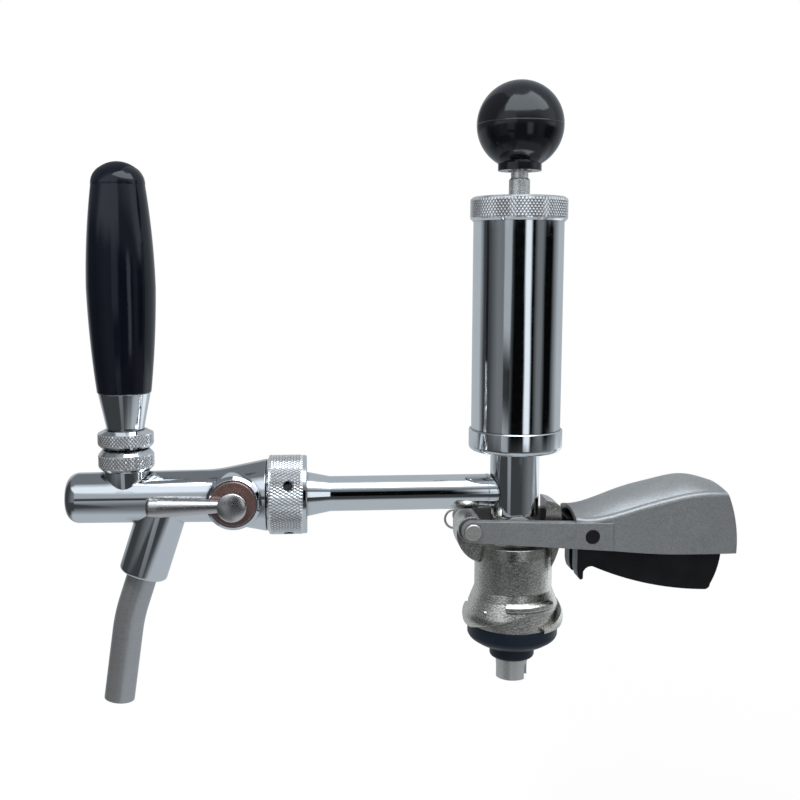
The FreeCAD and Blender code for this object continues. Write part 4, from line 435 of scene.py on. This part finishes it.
# Millimetres. Low and high run along the ring's axis, from its lower end in the frame; around
# and along are the teeth's pitches.
bandSizes = {
    "capKnurl": {"node": "pump_cap", "low": 0.9, "high": 10.2, "around": 1.6, "along": 2.1},
    "nutKnurl": {"node": "coupling_nut", "low": 0.9, "high": 16.6, "around": 1.45, "along": 2.6,
                 "lying": True, "holes": 4, "holeRadius": 2.25, "holeTurn": 66.0,
                 "holePlace": 9.8},
    "collarKnurl": {"node": "lever_collar", "low": 1.6, "high": 7.6, "around": 1.6,
                    "along": 1.9},
    "jamKnurl": {"node": "jam_nut", "low": 1.1, "high": 6.5, "around": 1.6, "along": 1.9},
}
toothDepth = 0.3
toothFoot = 0.03             # the valleys' height over the ring
backDepth = 0.25             # of the band's hidden side below the ring
joinDistance = 0.001         # closes the seam of the wrapped grid
# The smooth rims' crest value gives them a painted brightness between valley and tip.
rimCrest = 0.6               # the crest value of the smooth rims beside the teeth
drillSides = 28
drillLength = 12.0


def moveTo(tree, form, place):
    placed = addNode(tree, "GeometryNodeSetPosition")
    tree.links.new(form, placed.inputs["Geometry"])
    tree.links.new(place, placed.inputs["Position"])
    return placed.outputs[0]


def makeReal(tree, form):
    real = addNode(tree, "GeometryNodeRealizeInstances")
    tree.links.new(form, real.inputs[0])
    return real.outputs[0]


def roundAxis(tree, reach, angle, height):
    point = addNode(tree, "ShaderNodeCombineXYZ")
    tree.links.new(calc(tree, "MULTIPLY", reach, calc(tree, "COSINE", angle)), point.inputs[0])
    tree.links.new(calc(tree, "MULTIPLY", reach, calc(tree, "SINE", angle)), point.inputs[1])
    tree.links.new(height, point.inputs[2])
    return point.outputs[0]


def pick(tree, test, yes, no):
    return calc(tree, "ADD", calc(tree, "MULTIPLY", test, yes),
                calc(tree, "MULTIPLY", calc(tree, "SUBTRACT", 1.0, test), no))


def within(tree, value, low, high):
    return calc(tree, "MULTIPLY", calc(tree, "GREATER_THAN", value, low),
                calc(tree, "LESS_THAN", value, high))


def buildKnurlTree(holes):
    tree = bpy.data.node_groups.new("knurledBand", "GeometryNodeTree")
    tree.interface.new_socket("Mesh", in_out="OUTPUT", socket_type="NodeSocketGeometry")
    for kind, names in bandInputs.items():
        for name in names:
            tree.interface.new_socket(name, in_out="INPUT", socket_type=kind)
    given = addNode(tree, "NodeGroupInput").outputs
    lines = calc(tree, "ADD", given["Rows"], 3.0)        # two lines behind the band, one to close
    grid = addNode(tree, "GeometryNodeMeshGrid")
    tree.links.new(calc(tree, "ADD", given["Columns"], 1.0), grid.inputs["Vertices X"])
    tree.links.new(calc(tree, "ADD", lines, 1.0), grid.inputs["Vertices Y"])
    flat = splitPlace(tree, addNode(tree, "GeometryNodeInputPosition").outputs[0])
    across = calc(tree, "ADD", flat["X"], 0.5)
    column = calc(tree, "ROUND", calc(tree, "MULTIPLY", across, given["Columns"]))
    upward = calc(tree, "ADD", flat["Y"], 0.5)
    row = calc(tree, "ROUND", calc(tree, "MULTIPLY", upward, lines))
    step = calc(tree, "SUBTRACT", row, 1.0)              # 0 at the lower rim, Rows at the upper
    inBand = within(tree, step, -0.5, calc(tree, "ADD", given["Rows"], 0.5))
    inTeeth = within(tree, step, 0.5, calc(tree, "SUBTRACT", given["Rows"], 0.5))
    odd = calc(tree, "MODULO", calc(tree, "ADD", column, row), 2.0)
    raised = calc(tree, "MULTIPLY", inTeeth, calc(tree, "GREATER_THAN", odd, 0.5))
    floor = calc(tree, "SUBTRACT", given["Radius"], given["Depth"])
    outer = calc(tree, "ADD", floor, calc(tree, "MULTIPLY", raised, given["Depth"]))
    reach = pick(tree, inBand, outer, given["Backing"])
    share = calc(tree, "MAXIMUM", calc(tree, "DIVIDE", step, given["Rows"]), 0.0)
    share = calc(tree, "MINIMUM", share, 1.0)
    opened = calc(tree, "LESS_THAN", row, calc(tree, "SUBTRACT", lines, 0.5))
    share = calc(tree, "MULTIPLY", share, opened)
    tall = calc(tree, "SUBTRACT", given["High"], given["Low"])
    height = calc(tree, "ADD", given["Low"], calc(tree, "MULTIPLY", share, tall))
    angle = calc(tree, "MULTIPLY", across, math.tau)
    crest = addNode(tree, "GeometryNodeStoreNamedAttribute", data_type="FLOAT", domain="POINT")
    crest.inputs["Name"].default_value = "crest"
    tree.links.new(grid.outputs["Mesh"], crest.inputs["Geometry"])
    tree.links.new(pick(tree, inTeeth, raised, rimCrest), crest.inputs["Value"])
    placed = moveTo(tree, crest.outputs[0], roundAxis(tree, reach, angle, height))
    merged = addNode(tree, "GeometryNodeMergeByDistance")
    merged.inputs["Distance"].default_value = joinDistance * mm
    tree.links.new(placed, merged.inputs["Geometry"])
    split = addNode(tree, "GeometryNodeTriangulate")
    tree.links.new(merged.outputs[0], split.inputs[0])
    band = split.outputs[0]
    if holes:
        band = drillBand(tree, given, band)
    finish = addNode(tree, "GeometryNodeSetMaterial")
    tree.links.new(makeReal(tree, band), finish.inputs["Geometry"])
    tree.links.new(given["Finish"], finish.inputs["Material"])
    tree.links.new(finish.outputs[0], addNode(tree, "NodeGroupOutput").inputs[0])
    return tree


def drillBand(tree, given, band):
    drill = addNode(tree, "GeometryNodeMeshCylinder")
    drill.inputs["Vertices"].default_value = drillSides
    drill.inputs["Depth"].default_value = drillLength * mm
    tree.links.new(given["Hole Radius"], drill.inputs["Radius"])
    row = addNode(tree, "GeometryNodeMeshLine")
    tree.links.new(given["Holes"], row.inputs["Count"])
    row.inputs["Offset"].default_value = (0, 0, 0)
    index = addNode(tree, "GeometryNodeInputIndex").outputs[0]
    turn = calc(tree, "ADD", given["Hole Turn"],
                calc(tree, "DIVIDE", calc(tree, "MULTIPLY", index, math.tau), given["Holes"]))
    spots = moveTo(tree, row.outputs[0],
                   roundAxis(tree, given["Radius"], turn, given["Hole Place"]))
    lean = addNode(tree, "ShaderNodeCombineXYZ")
    lean.inputs[1].default_value = math.pi / 2
    tree.links.new(turn, lean.inputs[2])
    aimed = addNode(tree, "FunctionNodeEulerToRotation")
    tree.links.new(lean.outputs[0], aimed.inputs[0])
    drills = addNode(tree, "GeometryNodeInstanceOnPoints")
    tree.links.new(spots, drills.inputs["Points"])
    tree.links.new(drill.outputs["Mesh"], drills.inputs["Instance"])
    tree.links.new(aimed.outputs[0], drills.inputs["Rotation"])
    cut = addNode(tree, "GeometryNodeMeshBoolean", operation="DIFFERENCE", solver="EXACT")
    tree.links.new(band, cut.inputs["Mesh 1"])
    tree.links.new(makeReal(tree, drills.outputs[0]), cut.inputs["Mesh 2"])
    return cut.outputs["Mesh"]


def setInput(modifier, name, value):
    for item in modifier.node_group.interface.items_tree:
        if item.name == name and item.in_out == "INPUT":
            modifier[item.identifier] = value
            return
    raise ValueError(name)


def fixNormals(mesh):
    form = bmesh.new()
    form.from_mesh(mesh)
    bmesh.ops.recalc_face_normals(form, faces=form.faces)
    form.to_mesh(mesh)
    form.free()
    mesh.shade_flat()


def makeBand(name, sizes):
    low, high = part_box(sizes["node"])
    lying = sizes.get("lying", False)
    along = 0 if lying else 2
    radius = (high.y - low.y) / 2
    middle = (low + high) / 2
    middle[along] = low[along]
    tall = (sizes["high"] - sizes["low"]) * mm
    around, long = sizes["around"] * mm, sizes["along"] * mm
    band = bpy.data.objects.new(name, bpy.data.meshes.new(name))
    scene.collection.objects.link(band)
    modifier = band.modifiers.new("knurl", "NODES")
    modifier.node_group = buildKnurlTree("holes" in sizes)
    values = {
        "Radius": radius + (toothFoot + toothDepth) * mm,
        "Depth": toothDepth * mm,
        "Backing": radius - backDepth * mm,
        "Low": sizes["low"] * mm,
        "High": sizes["high"] * mm,
        "Columns": 2 * round(math.tau * radius / around),
        "Rows": 2 * round(tall / long),
        "Finish": toothChrome,
        "Holes": sizes.get("holes", 0),
        "Hole Radius": sizes.get("holeRadius", 1.0) * mm,
        "Hole Turn": math.radians(sizes.get("holeTurn", 0.0)),
        "Hole Place": sizes.get("holePlace", 0.0) * mm,
    }
    for key, value in values.items():
        setInput(modifier, key, value)
    bpy.context.view_layer.update()
    shaped = bpy.data.meshes.new_from_object(
        band.evaluated_get(bpy.context.evaluated_depsgraph_get()))
    band.modifiers.remove(modifier)
    stand = Matrix.Rotation(math.pi / 2, 4, "Y") if lying else Matrix.Identity(4)
    shaped.transform(Matrix.Translation(middle) @ stand)
    shaped.name = name
    band.data = shaped
    fixNormals(shaped)
    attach(band, body_of(nodes[sizes["node"]])[0])
    print(name, len(shaped.polygons), "faces")


for bandName, sizes in bandSizes.items():
    makeBand(bandName, sizes)
print("knurls made")


# The bush under the knob sits just inside the knob's foot, where the rod's neck goes in. The
# flow lever's hub ends in a low turned dome. Millimetres.

insertSizes = {"outer": 7.35, "inner": 2.2, "inset": 0.35, "steps": 64}
domeSizes = {
    "radius": 6.5,
    "rise": 1.3,
    "roundness": 1.3,            # a power over 1 lowers the dome's shoulder
    "lip": 0.5,
    "base": 26.0,                # from the tap's axis towards the front
    "place": -132.0,
    "height": 75.0,
    "rings": 10,
    "steps": 72,
}
sharpAngle = 35              # degrees between faces, past which an edge stays sharp


def turnProfile(name, profile, steps, closed=False):
    form = bmesh.new()
    rings = []
    for radius, height in profile:
        count = steps if radius > 0 else 1
        rings.append([form.verts.new((radius * math.cos(math.tau * k / steps),
                                      radius * math.sin(math.tau * k / steps), height))
                      for k in range(count)])
    pairs = zip(rings, rings[1:] + rings[:1]) if closed else zip(rings, rings[1:])
    for first, second in pairs:
        for k in range(steps):
            n = (k + 1) % steps
            corners = [first[k % len(first)], first[n % len(first)],
                       second[n % len(second)], second[k % len(second)]]
            form.faces.new(list(dict.fromkeys(corners)))
    bmesh.ops.recalc_face_normals(form, faces=form.faces)
    mesh = bpy.data.meshes.new(name)
    form.to_mesh(mesh)
    form.free()
    mesh.shade_smooth()
    mesh.set_sharp_from_angle(angle=math.radians(sharpAngle))
    return mesh


def addPiece(name, mesh, material, node):
    mesh.materials.append(material)
    piece = bpy.data.objects.new(name, mesh)
    scene.collection.objects.link(piece)
    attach(piece, body_of(nodes[node])[0])
    return piece


def makeInsert():
    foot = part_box("ball_knob")[0].z + insertSizes["inset"] * mm
    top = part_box("knob_insert")[1].z
    outer, inner = insertSizes["outer"] * mm, insertSizes["inner"] * mm
    mesh = turnProfile("knobBush", [(inner, foot), (outer, foot), (outer, top), (inner, top)],
                       insertSizes["steps"], closed=True)
    bush = addPiece("knobBush", mesh, insertMetal, "knob_insert")
    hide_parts("knob_insert")


def makeDome():
    radius, rise = domeSizes["radius"] * mm, domeSizes["rise"] * mm
    base, lip = domeSizes["base"] * mm, domeSizes["lip"] * mm
    rings = domeSizes["rings"]
    profile = [(0, base), (radius, base), (radius, base + lip)]
    for k in range(1, rings):
        turn = math.pi / 2 * k / rings
        crown = rise * math.sin(turn) ** domeSizes["roundness"]
        profile.append((radius * math.cos(turn), base + lip + crown))
    profile.append((0, base + lip + rise))
    mesh = turnProfile("flowLeverDome", profile, domeSizes["steps"])
    forward = Matrix.Rotation(math.pi / 2, 4, "X")
    spot = Vector((domeSizes["place"], 0, domeSizes["height"])) * mm
    mesh.transform(Matrix.Translation(spot) @ forward)
    addPiece("flowLeverDome", mesh, domeSteel, "compensator_lever")


makeInsert()
makeDome()
print("knob's bush and flow lever's dome made")


# The studio: a camera, a white surround, near walls that only gloss sees, a pale floor, one
# key lamp and one fill lamp. Lengths from here on are metres, except the camera's place.

cameraSizes = {
    "place": (-96.64, -474.98, 180.39),
    "yaw": 5.006,
    "pitch": 7.315,
    "roll": 0.146,
    "lens": 46.15,
    "sensor": 36.0,
    "near": 0.01,
    "far": 30,
}


def makeCamera():
    yaw, pitch, roll = (math.radians(cameraSizes[k]) for k in ("yaw", "pitch", "roll"))
    ahead = Vector((math.sin(yaw) * math.cos(pitch), math.cos(yaw) * math.cos(pitch),
                    -math.sin(pitch)))
    right = Vector((math.cos(yaw), -math.sin(yaw), 0))
    over = right.cross(ahead)
    side = right * math.cos(roll) + over * math.sin(roll)
    top = over * math.cos(roll) - right * math.sin(roll)
    data = bpy.data.cameras.new("camera")
    data.lens = cameraSizes["lens"]
    data.sensor_width = cameraSizes["sensor"]
    data.clip_start = cameraSizes["near"]
    data.clip_end = cameraSizes["far"]
    camera = bpy.data.objects.new("camera", data)
    scene.collection.objects.link(camera)
    turn = Matrix((side, top, -ahead)).transposed().to_4x4()
    camera.matrix_world = Matrix.Translation(Vector(cameraSizes["place"]) * mm) @ turn
    scene.camera = camera


surroundLight = 0.5          # what the white surround gives to matt surfaces


def makeSurround():
    world = bpy.data.worlds.new("surround")
    world.use_nodes = True
    scene.world = world
    tree = world.node_tree
    path = addNode(tree, "ShaderNodeLightPath").outputs
    seen = calc(tree, "MAXIMUM", path["Is Camera Ray"], path["Is Glossy Ray"])
    level = addNode(tree, "ShaderNodeMapRange")
    level.inputs["To Min"].default_value = surroundLight
    level.inputs["To Max"].default_value = 1.0
    tree.links.new(calc(tree, "MAXIMUM", seen, path["Is Transmission Ray"]),
                   level.inputs["Value"])
    sky = tree.nodes["Background"]
    sky.inputs["Color"].default_value = (1, 1, 1, 1)
    tree.links.new(level.outputs["Result"], sky.inputs["Strength"])


# The walls are a sphere that stands near, so each piece mirrors its own part of it. Edges and
# turns are in degrees, the edges above the walls' middle and the turns from the front.
wallSizes = {
    "radius": 0.42,
    "height": 0.10,
    "segments": 64,
    "rings": 32,
    "gain": 1.12,
    "gamma": 2.2,                # from the tones, which are screen greys, to light
    "tint": (0.88, 0.97, 1.05),
    "tapSide": -0.13,            # where along X the walls change from the shank's to the tap's
    "tapBlend": 0.01,
    "floorEdge": -31.0,
    "lowEdge": -9.3,
    "highEdge": 19.0,
    "edgeBlend": 1.6,
    "floorSoftness": 4,          # how many times the usual blend these two edges take
    "highSoftness": 2,
    "leftStart": -44,            # at the front's left the lengthwise panels shine through
    "leftEnd": -27,
    "leftAtBarrel": 0.8,
    "leftAtStem": 0.55,
    "wobbleScale": 6.0,          # so the panels' edges aren't ruler straight
    "wobbleDetail": 2.0,
    "wobble": (0.06, 0.06, 0.05),
}

# A bright window high on the walls, which the knob mirrors.
windowSizes = {"low": 46.0, "high": 78.0, "turn": 8.0, "half": 66.0, "light": 4.2}

# The walls carry a few panels and flags, listed here: from and to in degrees, and a tone.
# From one to the next the light blends over. The barrel's and the stem's stand round the
# upright axis, from the front towards +X, the stem's lower down. The shank's and the tap's
# lie round the lengthwise axis, from the front upwards.
wallTones = {"black": 0.06, "dark": 0.25, "grey": 0.45, "pale": 0.7, "lamp": 0.95}
wallPanels = {
    "barrel": [
        (-180, -120, "pale"), (-105, -85, "dark"), (-60, -35, "grey"), (-20, 5, "black"),
        (10, 20, "lamp"), (25, 30, "black"), (40, 50, "grey"), (60, 80, "black"),
        (110, 180, "pale"),
    ],
    "stem": [
        (-180, -140, "pale"), (-100, 20, "dark"), (60, 80, "grey"), (120, 140, "lamp"),
        (160, 180, "pale"),
    ],
    "shank": [
        (-180, -40, "pale"), (-20, -5, "dark"), (0, 5, "black"), (10, 30, "grey"),
        (50, 75, "lamp"), (95, 180, "pale"),
    ],
    "tap": [
        (-180, -75, "pale"), (-50, -30, "grey"), (-15, -10, "pale"), (-5, 0, "black"),
        (5, 20, "pale"), (30, 55, "lamp"), (75, 150, "grey"), (170, 180, "pale"),
    ],
}


def lightOf(tone):
    shade = wallSizes["gain"] * wallTones[tone] ** wallSizes["gamma"]
    return (*(shade * part for part in wallSizes["tint"]), 1)


def panelRamp(tree, angle, panels):
    ramp = addNode(tree, "ShaderNodeValToRGB")
    span = addNode(tree, "ShaderNodeMapRange")
    span.inputs["From Min"].default_value = -math.pi
    span.inputs["From Max"].default_value = math.pi
    tree.links.new(angle, span.inputs["Value"])
    tree.links.new(span.outputs["Result"], ramp.inputs["Fac"])
    stops = ramp.color_ramp.elements
    while len(stops) > 1:
        stops.remove(stops[0])
    stops[0].position = 0.0
    stops[0].color = lightOf(panels[0][2])
    for low, high, tone in panels:
        for degrees in (low, high):
            if degrees > -180:
                stops.new(0.5 + degrees / 360).color = lightOf(tone)
    return ramp.outputs["Color"]


def stepAt(tree, value, edge, blend):
    return spread(tree, value, 0, 1, fromLow=edge - blend, fromHigh=edge + blend)


def between(tree, value, low, high, blend):
    return calc(tree, "MULTIPLY", stepAt(tree, value, low, blend),
                calc(tree, "SUBTRACT", 1.0, stepAt(tree, value, high, blend)))


def wavedPlace(tree):
    place = addNode(tree, "ShaderNodeTexCoord")
    wobble = addNode(tree, "ShaderNodeTexNoise")
    wobble.inputs["Scale"].default_value = wallSizes["wobbleScale"]
    wobble.inputs["Detail"].default_value = wallSizes["wobbleDetail"]
    tree.links.new(place.outputs["Object"], wobble.inputs["Vector"])
    middle = addNode(tree, "ShaderNodeVectorMath", operation="SUBTRACT")
    middle.inputs[1].default_value = (0.5, 0.5, 0.5)
    tree.links.new(wobble.outputs["Color"], middle.inputs[0])
    shift = addNode(tree, "ShaderNodeVectorMath", operation="MULTIPLY_ADD")
    shift.inputs[1].default_value = wallSizes["wobble"]
    tree.links.new(middle.outputs[0], shift.inputs[0])
    tree.links.new(place.outputs["Object"], shift.inputs[2])
    return shift.outputs[0]


def wallMaterial():
    material, tree, shader = newMaterial("studioWalls")
    tree.nodes.remove(shader)
    spot = wavedPlace(tree)
    place = splitPlace(tree, spot)
    front = calc(tree, "MULTIPLY", place["Y"], -1.0)
    turn = calc(tree, "ARCTAN2", place["X"], front)
    pitch = calc(tree, "ARCTAN2", place["Z"], front)
    unit = addNode(tree, "ShaderNodeVectorMath", operation="NORMALIZE")
    tree.links.new(spot, unit.inputs[0])
    rise = calc(tree, "ARCSINE", splitPlace(tree, unit.outputs[0])["Z"])
    blend, floorEdge, lowEdge, highEdge, leftStart, leftEnd = (
        math.radians(wallSizes[k]) for k in
        ("edgeBlend", "floorEdge", "lowEdge", "highEdge", "leftStart", "leftEnd"))
    shankSide = stepAt(tree, place["X"], wallSizes["tapSide"], wallSizes["tapBlend"])
    lengthwise = blendColours(tree, shankSide, panelRamp(tree, pitch, wallPanels["tap"]),
                              panelRamp(tree, pitch, wallPanels["shank"]))
    frontLeft = between(tree, turn, leftStart, leftEnd, blend)
    stemSide = blendColours(tree, calc(tree, "MULTIPLY", frontLeft, wallSizes["leftAtStem"]),
                            panelRamp(tree, turn, wallPanels["stem"]), lengthwise)
    barrelSide = blendColours(tree,
                              calc(tree, "MULTIPLY", frontLeft, wallSizes["leftAtBarrel"]),
                              panelRamp(tree, turn, wallPanels["barrel"]), lengthwise)
    levels = [
        (floorEdge, blend * wallSizes["floorSoftness"], stemSide),
        (lowEdge, blend, barrelSide),
        (highEdge, blend * wallSizes["highSoftness"], lengthwise),
    ]
    colour = lengthwise
    for edge, softness, above in levels:
        colour = blendColours(tree, stepAt(tree, rise, edge, softness), colour, above)
    sides = [math.radians(windowSizes["turn"] + way * windowSizes["half"]) for way in (-1, 1)]
    sills = [math.radians(windowSizes[k]) for k in ("low", "high")]
    pane = calc(tree, "MULTIPLY", between(tree, turn, *sides, blend),
                between(tree, rise, *sills, blend))
    glass = tuple(windowSizes["light"] * part for part in wallSizes["tint"])
    glow = addNode(tree, "ShaderNodeEmission")
    tree.links.new(blendColours(tree, pane, colour, glass), glow.inputs["Color"])
    tree.links.new(glow.outputs[0], tree.nodes["Material Output"].inputs["Surface"])
    return material


def makeWalls():
    mesh = bpy.data.meshes.new("studioWalls")
    form = bmesh.new()
    bmesh.ops.create_uvsphere(form, u_segments=wallSizes["segments"],
                              v_segments=wallSizes["rings"], radius=wallSizes["radius"])
    bmesh.ops.reverse_faces(form, faces=form.faces)
    form.to_mesh(mesh)
    form.free()
    walls = bpy.data.objects.new("studioWalls", mesh)
    walls.location = (0, 0, wallSizes["height"])
    scene.collection.objects.link(walls)
    mesh.materials.append(wallMaterial())
    for way in ("camera", "diffuse", "shadow", "transmission", "volume_scatter"):
        setattr(walls, "visible_" + way, False)


floorSizes = {
    "height": -0.16,
    "side": 6.0,
    "tint": (0.95, 0.95, 0.95, 1),
    "shadowShare": 0.14,         # how much of a shadow the floor keeps, near its middle
    "shadowNear": 0.20,
    "shadowFar": 0.55,
}


def floorMaterial():
    material, tree, shader = newMaterial("paleFloor")
    tree.nodes.remove(shader)
    glow = addNode(tree, "ShaderNodeEmission")
    glow.inputs["Color"].default_value = (1, 1, 1, 1)
    matte = addNode(tree, "ShaderNodeBsdfDiffuse")
    matte.inputs["Color"].default_value = floorSizes["tint"]
    place = addNode(tree, "ShaderNodeTexCoord")
    reach = addNode(tree, "ShaderNodeVectorMath", operation="LENGTH")
    tree.links.new(place.outputs["Object"], reach.inputs[0])
    share = spread(tree, reach.outputs["Value"], floorSizes["shadowShare"], 0,
                   fromLow=floorSizes["shadowNear"], fromHigh=floorSizes["shadowFar"])
    mix = addNode(tree, "ShaderNodeMixShader")
    tree.links.new(share, mix.inputs["Fac"])
    tree.links.new(glow.outputs[0], mix.inputs[1])
    tree.links.new(matte.outputs[0], mix.inputs[2])
    tree.links.new(mix.outputs[0], tree.nodes["Material Output"].inputs["Surface"])
    return material


def makeFloor():
    half = floorSizes["side"] / 2
    mesh = bpy.data.meshes.new("floor")
    mesh.from_pydata([(-half, -half, 0), (half, -half, 0), (half, half, 0), (-half, half, 0)],
                     [], [(0, 1, 2, 3)])
    floor = bpy.data.objects.new("floor", mesh)
    floor.location = (0, 0, floorSizes["height"])
    scene.collection.objects.link(floor)
    mesh.materials.append(floorMaterial())
    floor.visible_diffuse = False
    floor.visible_glossy = False


lampSizes = {
    "key": {"place": (-0.35, -0.35, 1.15), "aim": (-0.04, 0, 0.1), "size": 0.5, "power": 13.0},
    "fill": {"place": (0.6, -0.9, 0.35), "aim": (0.0, 0, 0.08), "size": 0.7, "power": 2.5},
}


def makeLamp(name, sizes):
    data = bpy.data.lights.new(name, "AREA")
    data.shape = "DISK"
    data.size = sizes["size"]
    data.energy = sizes["power"]
    lamp = bpy.data.objects.new(name, data)
    scene.collection.objects.link(lamp)
    aim = Vector(sizes["aim"]) - Vector(sizes["place"])
    turn = aim.to_track_quat("-Z", "Y").to_matrix().to_4x4()
    lamp.matrix_world = Matrix.Translation(Vector(sizes["place"])) @ turn
    lamp.visible_glossy = False      # metal mirrors the walls instead


makeCamera()
makeSurround()
makeWalls()
makeFloor()
for lampName, sizes in lampSizes.items():
    makeLamp(lampName + "Lamp", sizes)
scene.view_settings.view_transform = "Standard"
print("studio made")
